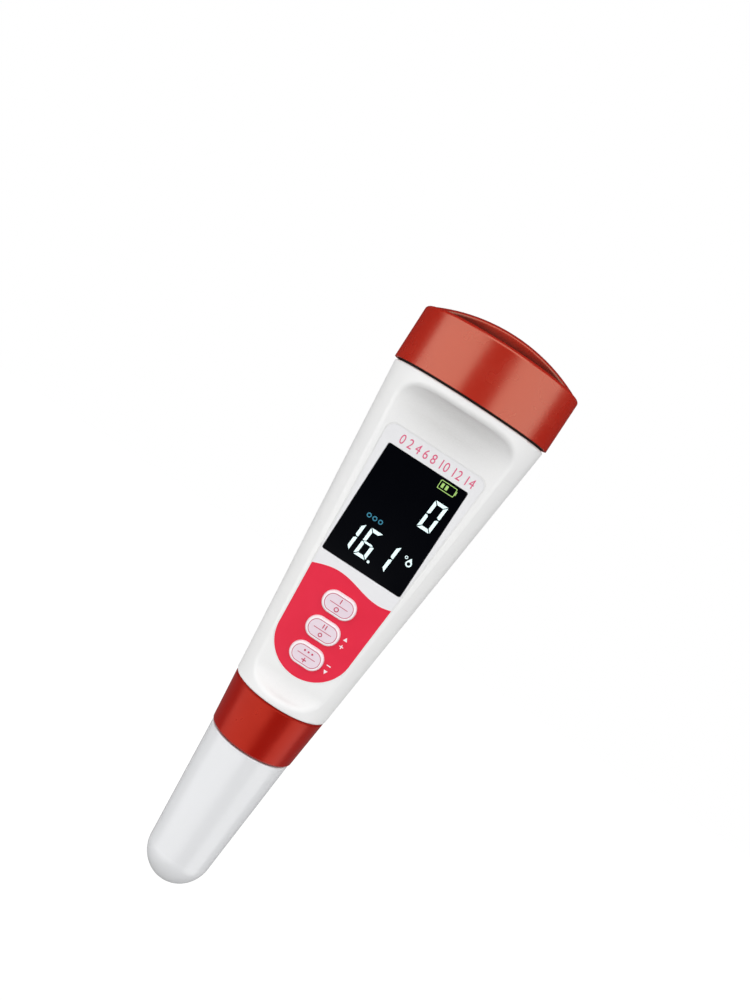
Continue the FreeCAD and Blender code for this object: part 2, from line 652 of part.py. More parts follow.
def make_inner_frame():
    """The sled behind the board: a back plate with two rails that hold the board's edges."""
    frame = new_body("inner_frame")
    set_on_facet(frame)
    low = f"({BOARD_BELOW} - frame_foot)"
    top = (f"(({TRAY_LOW} - display_height) / cos(facet_tilt)"
           " - (frame_depth + frame_back) * tan(facet_tilt) - slip_gap)")
    sketch = new_sketch(frame, "XY_Plane", ("0", "0", f"-{low}"))
    out = "(board_width / 2 + rail_thick)"
    edge = "(board_width / 2 + slip_gap)"
    hold = "(board_width / 2 - rail_thick)"
    front = "(board_depth - rail_lip)"
    near = "(board_depth - slip_gap)"
    far = "(board_depth + board_thick + slip_gap)"
    back = "(frame_depth + frame_back)"
    draw(sketch, [
        (f"-{out}", front), (f"-{edge}", front), (f"-{edge}", far), (f"-{hold}", far),
        (f"-{hold}", "frame_depth"), (hold, "frame_depth"), (hold, far), (edge, far),
        (edge, front), (out, front), (out, back), (f"-{out}", back),
    ])
    pad(frame, sketch, f"{top} + {low}")
    bosses = new_sketch(frame, "XZ_Plane", ("0", "0", "-frame_depth"))
    pilots = new_sketch(frame, "XZ_Plane", ("0", "0", "-board_depth"))
    for across, level in screw_spots():
        draw_circle(bosses, across, level, "boss_radius")
        draw_circle(pilots, across, level, "screw_radius + seal_gap")
    pad(frame, bosses, "frame_depth - board_depth - board_thick - slip_gap")
    pocket(frame, pilots, "frame_depth - board_depth + frame_back / 2")
    return frame


def make_battery_pack():
    """Tray, four button cells, their contact sheets and the cover that presses on them."""
    tray = new_body("battery_tray")
    radius = f"({NECK_BORE} - fit_gap)"
    revolve(tray, [
        ("0", TRAY_LOW), (radius, TRAY_LOW), (radius, CELL_TOP), ("0", CELL_TOP),
    ])
    pockets = new_sketch(tray, "XY_Plane", ("0", "0", CELL_TOP))
    spots = [(1, 1), (-1, 1), (-1, -1), (1, -1)]
    for right, back in spots:
        draw_circle(pockets, f"{right} * {CELL_OFFSET}", f"{back} * {CELL_OFFSET}", "cell_radius + cell_gap")
    pocket(tray, pockets, "cell_thick + contact_thick")
    made = [tray]
    for number, (right, back) in enumerate(spots, start=1):
        cell = new_body(f"cell_{number}")
        sketch = new_sketch(cell, "XY_Plane", ("0", "0", CELL_LOW))
        draw_circle(sketch, f"{right} * {CELL_OFFSET}", f"{back} * {CELL_OFFSET}", "cell_radius")
        flipped = number % 2 == 0
        pad(cell, sketch, "cell_thick - cell_step")
        if flipped:
            bind(sketch, "AttachmentOffset.Base.z", f"{CELL_LOW} + cell_step")
        level = CELL_LOW if flipped else f"{CELL_TOP} - cell_step"
        button = new_sketch(cell, "XY_Plane", ("0", "0", level))
        draw_circle(button, f"{right} * {CELL_OFFSET}", f"{back} * {CELL_OFFSET}", "cell_button")
        pad(cell, button, "cell_step")
        made.append(cell)
    pocket_low = f"{CELL_LOW} - contact_thick"
    for number, (right, back) in enumerate(spots, start=1):
        disc = new_body(f"tray_contact_{number}")
        sketch = new_sketch(disc, "XY_Plane", ("0", "0", pocket_low))
        draw_circle(sketch, f"{right} * {CELL_OFFSET}", f"{back} * {CELL_OFFSET}", "contact_disc")
        pad(disc, sketch, "contact_thick")
        made.append(disc)
    for number, back in enumerate((1, -1), start=1):
        strip = new_body(f"cover_contact_{number}")
        sketch = new_sketch(strip, "XY_Plane", ("0", "0", CELL_TOP))
        draw_rectangle(sketch, "0", f"{back} * {CELL_OFFSET}", f"2 * {CELL_OFFSET} + cell_radius",
                       "cell_radius", "contact_corner")
        pad(strip, sketch, "contact_thick")
        made.append(strip)
    cover = new_body("cell_cover")
    revolve(cover, [
        ("0", COVER_LOW), (radius, COVER_LOW), (radius, COVER_TOP), ("0", COVER_TOP),
    ])
    made.append(cover)
    return made


def make_cap():
    """The battery cap with its dome and two finger recesses, and the pressure pad inside it."""
    cap = new_body("battery_cap")
    apex = f"({CAP_EDGE} + cap_crown)"
    shoulder = "(cap_radius - cap_round)"
    dome_foot = f"({CAP_EDGE} + cap_shoulder)"
    rise = "(cap_crown - cap_shoulder)"
    dome = f"(({shoulder} * {shoulder} + {rise} * {rise}) / (2 * {rise}))"
    revolve(cap, [
        (CAP_BORE, f"{CAP_LOW} + lead_in"),
        (f"{CAP_BORE} + lead_in", CAP_LOW),
        ("cap_radius", CAP_LOW),
        ("cap_radius", CAP_EDGE, "cap_round", 1),
        (shoulder, dome_foot, dome, 1),
        ("0", apex),
        ("0", CAP_ROOF),
        (CAP_BORE, CAP_ROOF),
    ])
    grips = new_sketch(cap, "XY_Plane", ("0", "0", f"{CAP_EDGE} + cap_crown"))
    half = "grip_width / 2"
    outer = "(cap_radius - grip_wall)"
    reach = f"sqrt({outer} * {outer} - grip_width * grip_width / 4)"
    for side in (-1, 1):
        draw(grips, [
            (f"-{half}", f"{side} * {reach}", outer, -side),
            (half, f"{side} * {reach}"),
        ])
    recess = pocket(cap, grips, "cap_crown + grip_sink")
    round_edges(cap, recess, is_ridge_edge, "grip_round")
    cushion = new_body("cell_pad")
    top = f"({CAP_ROOF} - slip_gap)"
    edge = f"({NECK_BORE} - pad_margin)"
    revolve(cushion, [
        ("0", f"{top} - pad_thick"), (edge, f"{top} - pad_thick"), (edge, top), ("0", top),
    ])
    return [cap, cushion]


def is_ridge_edge(edge):
    """True for the two long edges on top of the ridge between the finger recesses."""
    middle = edge.valueAt((edge.FirstParameter + edge.LastParameter) / 2)
    return middle.z > value_of(f"{CAP_EDGE} + cap_round") and 1 < abs(middle.y) < value_of("grip_width / 2")


def make_ring(label, centre_radius, level, section):
    """A seal ring lying level round the pen's axis."""
    ring = doc.addObject("Part::Torus", label)
    ring.Label = label
    bind(ring, "Radius1", centre_radius)
    bind(ring, "Radius2", section)
    bind(ring, "Placement.Base.z", level)
    return ring


def make_lock_ring():
    """The ring that screws on the spigot and holds the probe's flange on its lip."""
    ring = new_body("lock_ring")
    revolve(ring, [
        ("ring_bore", "-slip_gap"),
        ("ring_top_radius - ring_round", "-slip_gap"),
        ("ring_top_radius", "-slip_gap - ring_round"),
        ("ring_low_radius", "-ring_length + ring_round"),
        ("ring_low_radius - ring_round", "-ring_length"),
        ("ring_mouth", "-ring_length"),
        ("ring_mouth", f"{FLANGE_LOW} - slip_gap"),
        ("ring_bore", f"{FLANGE_LOW} - slip_gap"),
    ])
    return ring


def make_probe():
    """The plug-in probe: body with plug, flange, collar, stem and slotted guard, and its sensors."""
    body = new_body("probe_body")
    plug = "(socket_bore - slip_gap)"
    revolve(body, [
        ("0", GUARD_FLOOR),
        ("stem_radius - guard_wall", GUARD_FLOOR),
        ("stem_radius - guard_wall", STEM_LOW),
        ("stem_radius", STEM_LOW),
        ("stem_radius", COLLAR_LOW),
        ("collar_radius", COLLAR_LOW),
        ("collar_radius", FLANGE_LOW),
        ("spigot_radius", FLANGE_LOW),
        ("spigot_radius", FLANGE_TOP),
        (plug, FLANGE_TOP),
        (plug, PLUG_TOP),
        ("0", PLUG_TOP),
    ])
    slot_height = "2 * guard_depth - 2 * guard_wall"
    for plane in ("XZ_Plane", "YZ_Plane"):
        slot = new_sketch(body, plane)
        draw_rectangle(slot, "0", STEM_LOW, "guard_slot", slot_height)
        pocket(body, slot, "4 * stem_radius", both=True)
    plug_seal = seal_groove(body, "plug_seal", f"({FLANGE_TOP} + gasket_above)", "socket_bore")
    inside = f"(shield_top_radius - shield_wall + {SHIELD_TAPER} * ({COLLAR_SEAL} - {SHIELD_TOP}))"
    collar_seal = seal_groove(body, "collar_seal", COLLAR_SEAL, inside)
    made = [body, plug_seal, collar_seal]
    for label, right, back, low, high, radius in SENSOR_PINS:
        pin = doc.addObject("Part::Cylinder", label)
        pin.Label = label
        bind(pin, "Radius", radius)
        bind(pin, "Height", f"{high} - {low}")
        bind(pin, "Placement.Base.x", f"{right} * pin_spread")
        bind(pin, "Placement.Base.y", f"{back} * pin_spread")
        bind(pin, "Placement.Base.z", low)
        made.append(pin)
    made.append(make_bulb())
    return made


def seal_groove(body, label, level, reach):
    """Cuts a groove for a seal ring into a turned body and returns the ring, which reaches a radius."""
    centre = f"({reach} - seal_gap - gasket_section)"
    floor = f"({centre} - gasket_section - seal_gap)"
    half = "(gasket_section + seal_gap)"
    groove(body, [
        (floor, f"{level} - {half}"), (f"{reach} + gasket_section", f"{level} - {half}"),
        (f"{reach} + gasket_section", f"{level} + {half}"), (floor, f"{level} + {half}"),
    ])
    return make_ring(label, centre, level, "gasket_section")


def make_bulb():
    """The blown glass: a ball on a tube, hollow, open at the guard's floor."""
    bulb = new_body("glass_bulb")
    centre = f"({GUARD_FLOOR} - bulb_drop)"
    shoulder = f"({centre} + sqrt(bulb_radius * bulb_radius - glass_radius * glass_radius))"
    inner_ball = "(bulb_radius - glass_wall)"
    inner_tube = "(glass_radius - glass_wall)"
    inner_shoulder = f"({centre} + sqrt({inner_ball} * {inner_ball} - {inner_tube} * {inner_tube}))"
    revolve(bulb, [
        ("0", f"{centre} - bulb_radius", "bulb_radius", 1),
        ("bulb_radius", centre, "bulb_radius", 1),
        ("glass_radius", shoulder),
        ("glass_radius", GUARD_FLOOR),
        (inner_tube, GUARD_FLOOR),
        (inner_tube, inner_shoulder, inner_ball, -1),
        (inner_ball, centre, inner_ball, -1),
        ("0", f"{centre} - {inner_ball}"),
    ])
    return bulb


def make_socket():
    """The socket for the probe's contacts, its flange on the cavity floor and flat in front."""
    socket = new_body("probe_socket")
    low = f"({PLUG_TOP} + fit_gap)"
    radius = "(socket_bore - fit_gap)"
    revolve(socket, [
        ("0", low),
        (radius, low),
        (radius, "floor_height"),
        ("socket_flange", "floor_height"),
        ("socket_flange", "floor_height + socket_rim"),
        ("stem_radius", "floor_height + socket_rim"),
        ("stem_radius", f"{low} + socket_height"),
        ("0", f"{low} + socket_height"),
    ])
    facet_cutter(socket, "(wall + seal_gap)")
    holes = new_sketch(socket, "XY_Plane", ("0", "0", low))
    for right, back in CONTACT_SPOTS:
        draw_circle(holes, f"{right} * pin_spread", f"{back} * pin_spread", "pin_radius + seal_gap")
    pocket(socket, holes, "contact_reach + fit_gap", reverse=True)
    tails = new_body("socket_tails")
    set_on_facet(tails)
    sketch = new_sketch(tails, "XZ_Plane", ("0", "0", "-(board_depth + board_thick)"))
    for number in range(len(CONTACT_SPOTS)):
        across = f"({number} - {len(CONTACT_SPOTS) - 1} / 2) * tail_pitch"
        draw_rectangle(sketch, across, f"tail_inset - {BOARD_BELOW}", "tail_width", "tail_length")
    pad(tails, sketch, "contact_thick", reverse=True)
    return [socket, tails]


def make_blades():
    """Two contact blades that carry the battery's current from the tray down to the board."""
    blades = new_body("battery_blades")
    set_on_facet(blades)
    sketch = new_sketch(blades, "XZ_Plane", ("0", "0", "-(board_depth + board_thick)"))
    top = (f"(({TRAY_LOW} - display_height) / cos(facet_tilt)"
           " - (board_depth + frame_back) * tan(facet_tilt) - 2 * slip_gap)")
    low = f"({BOARD_ABOVE} - blade_overlap)"
    for side in (-1, 1):
        draw_rectangle(sketch, f"{side} * {CELL_OFFSET}", f"({top} + {low}) / 2", "blade_width",
                       f"{top} - {low}")
    pad(blades, sketch, "contact_thick", reverse=True)
    return blades


def make_shield():
    """The protective cap over the probe, with the wet sponge in its end."""
    cap = new_body("protective_cap")
    inner = "(shield_low_radius - shield_wall)"
    revolve(cap, [
        ("0", SHIELD_LOW, "shield_low_radius", 1),
        ("shield_low_radius", SHIELD_CENTRE),
        ("shield_top_radius", f"{SHIELD_TOP} - shield_round", "shield_round", 1),
        ("shield_top_radius - shield_round", SHIELD_TOP),
        ("shield_top_radius - shield_wall", SHIELD_TOP),
        (inner, SHIELD_CENTRE, inner, -1),
        ("0", f"{SHIELD_LOW} + shield_wall"),
    ])
    sponge = new_body("storage_sponge")
    ball = f"({inner} - slip_gap)"
    top = f"({STEM_LOW} - sponge_gap)"
    revolve(sponge, [
        ("0", f"{SHIELD_CENTRE} - {ball}", ball, 1),
        (f"sqrt({ball} * {ball} - ({SHIELD_CENTRE} - {top}) * ({SHIELD_CENTRE} - {top}))", top),
        ("0", top),
    ])
    return [cap, sponge]


parts = [make_housing(), make_label_film()]
parts += make_display()
parts += make_board()
parts.append(make_screws())
parts += make_keys()
parts.append(make_inner_frame())
parts += make_battery_pack()
parts.append(make_blades())
parts += make_cap()
parts.append(make_ring("cap_seal", f"{NECK_RADIUS} + seal_section + seal_gap", f"{SEAT} + seal_section",
                       "seal_section"))
parts += make_socket()
parts.append(make_lock_ring())
parts += make_probe()
parts += make_shield()

doc.recompute()
for item in doc.Objects:
    if "Invalid" in item.State or "Error" in item.State:
        raise RuntimeError(f"{item.Label} failed: {item.State}")
for item in parts:
    if item.Shape.isNull() or not item.Shape.isValid():
        raise RuntimeError(f"{item.Label} has no valid shape")

os.makedirs("parts", exist_ok=True)
for item in parts:
    item.Shape.exportStep(f"parts/{item.Label}.step")
    print(item.Label, round(item.Shape.Volume, 1), len(item.Shape.Solids))
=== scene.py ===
# %% [markdown]
# Water quality test pen
# The pen is a moulded white cone with a flat front, a red battery cap, a red lock ring and a pale
# protective cap over its probe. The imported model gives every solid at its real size, so this lesson
# only dresses it: finishes for all solids, the printed label, the figures of the display, the
# prints and skirts of the keys, screw threads and foam. Lengths are metres. What is drawn flat for
# the label, the keys and the display is in millimetres until it is laid on the facet.

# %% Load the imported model
import json
import math
import bmesh
import bpy
from mathutils import Matrix, Vector, noise


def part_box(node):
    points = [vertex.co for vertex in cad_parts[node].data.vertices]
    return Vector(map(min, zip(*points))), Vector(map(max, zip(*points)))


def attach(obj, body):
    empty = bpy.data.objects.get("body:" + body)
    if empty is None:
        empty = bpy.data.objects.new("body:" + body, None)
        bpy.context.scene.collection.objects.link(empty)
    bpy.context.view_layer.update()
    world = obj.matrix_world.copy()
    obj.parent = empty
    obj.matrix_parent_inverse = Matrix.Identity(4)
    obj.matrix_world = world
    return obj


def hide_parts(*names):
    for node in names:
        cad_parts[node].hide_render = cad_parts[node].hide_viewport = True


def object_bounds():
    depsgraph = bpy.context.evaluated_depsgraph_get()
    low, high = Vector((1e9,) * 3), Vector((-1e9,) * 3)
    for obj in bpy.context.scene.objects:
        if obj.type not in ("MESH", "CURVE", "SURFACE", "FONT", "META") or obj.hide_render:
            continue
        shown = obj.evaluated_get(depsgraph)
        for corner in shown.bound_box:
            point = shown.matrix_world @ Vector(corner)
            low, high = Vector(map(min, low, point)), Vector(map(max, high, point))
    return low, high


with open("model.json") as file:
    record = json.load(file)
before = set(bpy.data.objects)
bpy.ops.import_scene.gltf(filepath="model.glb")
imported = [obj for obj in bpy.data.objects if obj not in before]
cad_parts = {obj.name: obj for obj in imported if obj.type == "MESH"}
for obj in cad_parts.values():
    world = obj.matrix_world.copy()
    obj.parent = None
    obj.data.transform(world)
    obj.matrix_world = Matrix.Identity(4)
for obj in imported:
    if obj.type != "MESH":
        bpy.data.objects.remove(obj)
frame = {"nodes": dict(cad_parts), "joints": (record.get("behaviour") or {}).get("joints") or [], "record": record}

cad_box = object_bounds()
nodes = frame["nodes"]
scene = bpy.context.scene
print("solids:", len(nodes), "size in mm:", [round(1000 * s) for s in cad_box[1] - cad_box[0]])

# %% [markdown]
# The camera
# The photograph was taken from straight in front, a little above the middle, from close by, so the
# pen's lower end is seen from above and its cap from below. The picture was also turned, which here
# is a roll of the camera. Building the camera's own axes from the view direction is clearer than
# chaining three rotations.

# %% Camera
MM = 0.001
FOCAL_PX = 1050
PHOTO_LONG_PX = 1000
SENSOR = 36.0
CAMERA_DISTANCE = 236.6 * MM
CAMERA_HEIGHT = 67.0 * MM
NEAREST_SEEN = 10 * MM
LOOK_DOWN = math.radians(4.3)
LOOK_LEFT = math.radians(1.5)
ROLL = math.radians(32.93)


def make_camera():
    """Places the camera in front of the pen and rolls it as the photograph is rolled."""
    forward = Vector((-math.sin(LOOK_LEFT) * math.cos(LOOK_DOWN),
                      math.cos(LOOK_LEFT) * math.cos(LOOK_DOWN),
                      -math.sin(LOOK_DOWN)))
    level = forward.cross(Vector((0, 0, 1))).normalized()
    upright = level.cross(forward)
    right = level * math.cos(ROLL) + upright * math.sin(ROLL)
    up = upright * math.cos(ROLL) - level * math.sin(ROLL)
    data = bpy.data.cameras.new("photo_camera")
    data.sensor_width = SENSOR
    data.lens = FOCAL_PX / PHOTO_LONG_PX * SENSOR
    data.clip_start = NEAREST_SEEN
    camera = bpy.data.objects.new("photo_camera", data)
    scene.collection.objects.link(camera)
    turn = Matrix((right, up, -forward)).transposed().to_4x4()
    camera.matrix_world = Matrix.Translation((0, -CAMERA_DISTANCE, CAMERA_HEIGHT)) @ turn
    scene.camera = camera
    return camera


camera = make_camera()
scene.view_settings.view_transform = "Standard"
print("lens in mm:", round(camera.data.lens, 1))

# %% [markdown]
# The lamps
# Glossy plastic shows its lamps, so the lamps are chosen by what the red pieces show: two broad pale
# bands with a darker strip between them. A band at 0.15 to 0.66 of the radius mirrors what stands at
# twice that slope, 17 to 82 degrees to the side. The camera is nearly level with the battery cap, so
# the cap's side mirrors two wide soft boxes at that height, left and right of the camera. It looks
# down on the lock ring and the protective cap, which mirror a lower pair. The right box of that pair
# stands further round, and this shifts the darker strip. A box high in front lights the dome, and
# two weak ones that don't show in the gloss light the back.

# %% Lamps
LAMPS = (
    ("left_box", (-0.422, -0.269, 0.23), (0.80, 0.70), 2.15, True),
    ("right_box", (0.422, -0.269, 0.23), (0.80, 0.70), 2.15, True),
    ("low_left_box", (-0.321, -0.383, -0.29), (1.03, 0.33), 1.20, True),
    ("low_right_box", (0.489, -0.104, -0.29), (0.44, 0.33), 0.52, True),
    ("top_box", (0.0, -0.22, 0.60), (0.5, 0.4), 0.72, True),
    ("back_left_box", (-0.45, 0.42, 0.15), (0.4, 0.5), 0.50, False),
    ("back_right_box", (0.45, 0.42, 0.15), (0.4, 0.5), 0.50, False),
)
AIM = Vector((0, 0, 0.03))


def add_lamp(name, place, size, power, mirrored):
    """A rectangular soft box that faces the pen and may show in its gloss."""
    data = bpy.data.lights.new(name, "AREA")
    data.shape = "RECTANGLE"
    data.size, data.size_y = size
    data.energy = power
    lamp = bpy.data.objects.new(name, data)
    lamp.location = place
    lamp.visible_glossy = mirrored
    lamp.rotation_euler = (AIM - Vector(place)).to_track_quat("-Z", "Y").to_euler()
    scene.collection.objects.link(lamp)


for lamp_values in LAMPS:
    add_lamp(*lamp_values)
print("lamps:", len(LAMPS))

# %% [markdown]
# The world and the floor
# The ground and the world are white for the camera and weaker as light. In reflections they are
# weaker still, which keeps the red from washing out at its edges. The floor lies far below the pen,
# because a near one would fill the lower gloss with one flat tone.

# %% World and floor
FLOOR_DROP = 420 * MM
FLOOR_HALF = 3.0
REFLECTED_SHARE = 0.04
WORLD_FILL = 0.37
FLOOR_GLOW = 0.92
GLOW_STRENGTH = 1.12
FLOOR_TONE = (0.35, 0.35, 0.35, 1)


def add_math(tree, operation, first, second):
    """A sum, product or other pair of values; each is a socket or a number."""
    node = tree.nodes.new("ShaderNodeMath")
    node.operation = operation
    for socket, value in zip(node.inputs, (first, second)):
        if isinstance(value, (int, float)):
            socket.default_value = value
        else:
            tree.links.new(value, socket)
    return node.outputs[0]


def add_seen_level(tree, fill):
    """A level of 1 for the camera and through glass, a low one in gloss, and the fill for light."""
    rays = tree.nodes.new("ShaderNodeLightPath").outputs
    direct = add_math(tree, "MAXIMUM", rays["Is Camera Ray"], rays["Is Transmission Ray"])
    drop = add_math(tree, "MULTIPLY", rays["Is Glossy Ray"], fill - REFLECTED_SHARE)
    return add_math(tree, "MAXIMUM", direct, add_math(tree, "SUBTRACT", fill, drop))


def make_world():
    """A white world for the eye that gives only a soft fill light."""
    world = bpy.data.worlds.new("white_room")
    scene.world = world
    world.use_nodes = True
    tree = world.node_tree
    tree.nodes.clear()
    room = tree.nodes.new("ShaderNodeBackground")
    room.inputs["Color"].default_value = (1, 1, 1, 1)
    out = tree.nodes.new("ShaderNodeOutputWorld")
    tree.links.new(add_seen_level(tree, WORLD_FILL), room.inputs["Strength"])
    tree.links.new(room.outputs[0], out.inputs["Surface"])


def make_floor():
    """A wide pale floor under the pen; it keeps a share of the pen's shadow."""
    low = cad_box[0].z - FLOOR_DROP
    mesh = bpy.data.meshes.new("floor")
    signs = ((-1, -1), (1, -1), (1, 1), (-1, 1))
    corners = [(x * FLOOR_HALF, y * FLOOR_HALF, low) for x, y in signs]
    mesh.from_pydata(corners, [], [(0, 1, 2, 3)])
    floor = bpy.data.objects.new("floor", mesh)
    scene.collection.objects.link(floor)
    paint = bpy.data.materials.new("pale_floor")
    paint.use_nodes = True
    tree = paint.node_tree
    tree.nodes.clear()
    matt = tree.nodes.new("ShaderNodeBsdfDiffuse")
    matt.inputs["Color"].default_value = FLOOR_TONE
    glow = tree.nodes.new("ShaderNodeEmission")
    glow.inputs["Strength"].default_value = GLOW_STRENGTH
    mix = tree.nodes.new("ShaderNodeMixShader")
    out = tree.nodes.new("ShaderNodeOutputMaterial")
    seen = add_seen_level(tree, 0.0)
    tree.links.new(add_math(tree, "MULTIPLY", seen, FLOOR_GLOW), mix.inputs[0])
    tree.links.new(matt.outputs[0], mix.inputs[1])
    tree.links.new(glow.outputs[0], mix.inputs[2])
    tree.links.new(mix.outputs[0], out.inputs["Surface"])
    mesh.materials.append(paint)


make_world()
make_floor()
print("floor below the pen in mm:", round(FLOOR_DROP / MM))

# %% [markdown]
# Finishes for moulded plastic
# A moulded piece is never one flat colour: the tool leaves a faint grain, the melt a slow change of
# tone, and handling a change of gloss. One function makes all of them from three noises on Object
# coordinates: a slow one for tone, a middle one for gloss and a fine one for the grain. Small
# helpers come first, one for each kind of shader node.

# %% Helpers for shader nodes
NOISE_LOW, NOISE_HIGH = 0.3, 0.7


def tone(red, green, blue):
    """A colour as it is read off a screen, from 0 to 255, as the linear colour that shaders use."""
    def linear(level):
        share = level / 255
        return share / 12.92 if share <= 0.04045 else ((share + 0.055) / 1.055) ** 2.4
    return (linear(red), linear(green), linear(blue), 1.0)


def new_material(name):
    """An empty material with a Principled shader, its tree and its shader node."""
    material = bpy.data.materials.new(name)
    material.use_nodes = True
    tree = material.node_tree
    tree.nodes.clear()
    shader = tree.nodes.new("ShaderNodeBsdfPrincipled")
    out = tree.nodes.new("ShaderNodeOutputMaterial")
    tree.links.new(shader.outputs[0], out.inputs["Surface"])
    return material, tree, shader


def add_noise(tree, scale, detail=3.0, stretch=(1, 1, 1)):
    """A noise on the piece's own coordinates, in features per metre."""
    place = tree.nodes.new("ShaderNodeTexCoord")
    mapping = tree.nodes.new("ShaderNodeMapping")
    mapping.inputs["Scale"].default_value = stretch
    cloud = tree.nodes.new("ShaderNodeTexNoise")
    cloud.inputs["Scale"].default_value = scale
    cloud.inputs["Detail"].default_value = detail
    tree.links.new(place.outputs["Object"], mapping.inputs["Vector"])
    tree.links.new(mapping.outputs[0], cloud.inputs["Vector"])
    return cloud.outputs["Fac"]


def add_range(tree, source, low, high):
    """The part of the source that a noise really fills, laid over another range."""
    spread = tree.nodes.new("ShaderNodeMapRange")
    spread.inputs["From Min"].default_value = NOISE_LOW
    spread.inputs["From Max"].default_value = NOISE_HIGH
    spread.inputs["To Min"].default_value = low
    spread.inputs["To Max"].default_value = high
    tree.links.new(source, spread.inputs["Value"])
    return spread.outputs["Result"]


def add_two_tones(tree, source, first, second):
    """A colour between two tones, chosen by the source."""
    mix = tree.nodes.new("ShaderNodeMix")
    mix.data_type = "RGBA"
    mix.inputs["A"].default_value = first
    mix.inputs["B"].default_value = second
    tree.links.new(add_range(tree, source, 0.0, 1.0), mix.inputs["Factor"])
    return mix.outputs["Result"]


def add_grain(tree, shader, source, depth):
    """A bump of the given depth in metres."""
    bump = tree.nodes.new("ShaderNodeBump")
    bump.inputs["Strength"].default_value = 1.0
    bump.inputs["Distance"].default_value = depth
    tree.links.new(source, bump.inputs["Height"])
    tree.links.new(bump.outputs[0], shader.inputs["Normal"])


print("half grey of a screen in linear light:", round(tone(128, 128, 128)[0], 3))

# %% A function for moulded plastics
GLOSS_SCALE = 160
SHADE_RAYS = 8


def moulded(name, first, second, gloss, grain=1.5e-6, grain_scale=4000, slow_scale=35, **settings):
    """A moulded plastic: two near tones, a range of roughness and a fine grain."""
    material, tree, shader = new_material(name)
    slow = add_noise(tree, slow_scale)
    tree.links.new(add_two_tones(tree, slow, first, second), shader.inputs["Base Color"])
    middle = add_noise(tree, GLOSS_SCALE)
    tree.links.new(add_range(tree, middle, *gloss), shader.inputs["Roughness"])
    add_grain(tree, shader, add_noise(tree, grain_scale, 2.0), grain)
    for socket, value in settings.items():
        shader.inputs[socket.replace("_", " ")].default_value = value
    return material


def shader_of(material):
    """The Principled shader node of a material."""
    return [node for node in material.node_tree.nodes if node.type == "BSDF_PRINCIPLED"][0]


def shade_hollows(material, dark, reach, shut, wide, depth=None):
    """Painted shade: mixes the colour towards a dark one where its own surface is close in front.

    With a depth, two heights in metres, the dark colour comes in only from the upper one down.
    """
    tree = material.node_tree
    shader = shader_of(material)
    colour = shader.inputs["Base Color"].links[0].from_socket
    hollow = tree.nodes.new("ShaderNodeAmbientOcclusion")
    hollow.only_local = True
    hollow.samples = SHADE_RAYS
    hollow.inputs["Distance"].default_value = reach
    open_share = tree.nodes.new("ShaderNodeMapRange")
    open_share.inputs["From Min"].default_value = shut
    open_share.inputs["From Max"].default_value = wide
    tree.links.new(hollow.outputs["AO"], open_share.inputs["Value"])
    share = open_share.outputs["Result"]
    if depth:
        place = tree.nodes.new("ShaderNodeSeparateXYZ")
        tree.links.new(tree.nodes.new("ShaderNodeTexCoord").outputs["Object"], place.inputs[0])
        level = tree.nodes.new("ShaderNodeMapRange")
        level.inputs["From Min"].default_value, level.inputs["From Max"].default_value = depth
        tree.links.new(place.outputs["Z"], level.inputs["Value"])
        share = add_math(tree, "MAXIMUM", share, level.outputs["Result"])
    mix = tree.nodes.new("ShaderNodeMix")
    mix.data_type = "RGBA"
    mix.inputs["A"].default_value = dark
    tree.links.new(share, mix.inputs["Factor"])
    tree.links.new(colour, mix.inputs["B"])
    tree.links.new(mix.outputs["Result"], shader.inputs["Base Color"])


# %% [markdown]
# The finishes of the moulded pieces
# The tones are read off the photograph. The white moulding is satin, the battery cap a deep red that shows the
# soft boxes as broad pale bands, the lock ring a darker red whose gloss stays red, and the protective cap a milky,
# glossy plastic. The thumb cove and the cap's finger recess collect shade, so their colour is mixed towards a
# darker one wherever the surface looks into a hollow. In the recess this comes in from a level under its edge, so
# that the dome keeps its red.

# %% Finishes of the moulded pieces
# Heights on the battery cap between which its painted recess shade fades out upwards.
RECESS_FOOT, RECESS_EDGE = 93.2 * MM, 94.7 * MM
WINDOW_SHINE = 0.08

white_moulding = moulded("white_moulding", tone(245, 245, 244), tone(242, 242, 242), (0.34, 0.42))
# Painted shade: the white is mixed towards grey in the thumb cove and the housing's other hollows.
shade_hollows(white_moulding, tone(186, 183, 181), 12 * MM, 0.68, 0.93)
cap_red = moulded("cap_red", tone(186, 24, 4), tone(180, 22, 3), (0.23, 0.29), grain=3e-6,
                  grain_scale=2600, IOR=1.95, Specular_IOR_Level=1.0,
                  Specular_Tint=(0.84, 0.57, 0.40, 1.0))
# Painted shade: the red is mixed towards near black low in the finger recess, under its edge.
shade_hollows(cap_red, tone(112, 3, 1), 8 * MM, 0.88, 0.97, (RECESS_FOOT, RECESS_EDGE))
ring_red = moulded("ring_red", tone(158, 9, 3), tone(153, 8, 3), (0.27, 0.33), grain=8e-7,
                   IOR=1.9, Specular_IOR_Level=1.0, Specular_Tint=(0.9, 0.12, 0.07, 1.0))
milky_cap = moulded("milky_cap", tone(234, 235, 237), tone(232, 233, 235), (0.19, 0.25),
                    grain=5e-7, IOR=1.5, Specular_IOR_Level=0.9)
film = moulded("label_film", tone(237, 237, 239), tone(235, 235, 237), (0.45, 0.52), grain=8e-7)
black_moulding = moulded("black_moulding", tone(26, 26, 27), tone(20, 20, 21), (0.45, 0.55),
                         grain=4e-6)
key_moulding = moulded("key_moulding", tone(250, 246, 248), tone(248, 243, 246), (0.35, 0.42))
plunger_moulding = moulded("plunger_moulding", tone(60, 60, 62), tone(52, 52, 54), (0.4, 0.5))
probe_moulding = moulded("probe_moulding", tone(205, 206, 208), tone(198, 199, 202), (0.40, 0.48))
cover_moulding = moulded("cover_moulding", tone(226, 226, 222), tone(220, 220, 216), (0.40, 0.50))
window_black = moulded("window_black", tone(5, 6, 10), tone(3, 4, 8), (0.10, 0.14), grain=1e-7,
                       Specular_IOR_Level=WINDOW_SHINE)
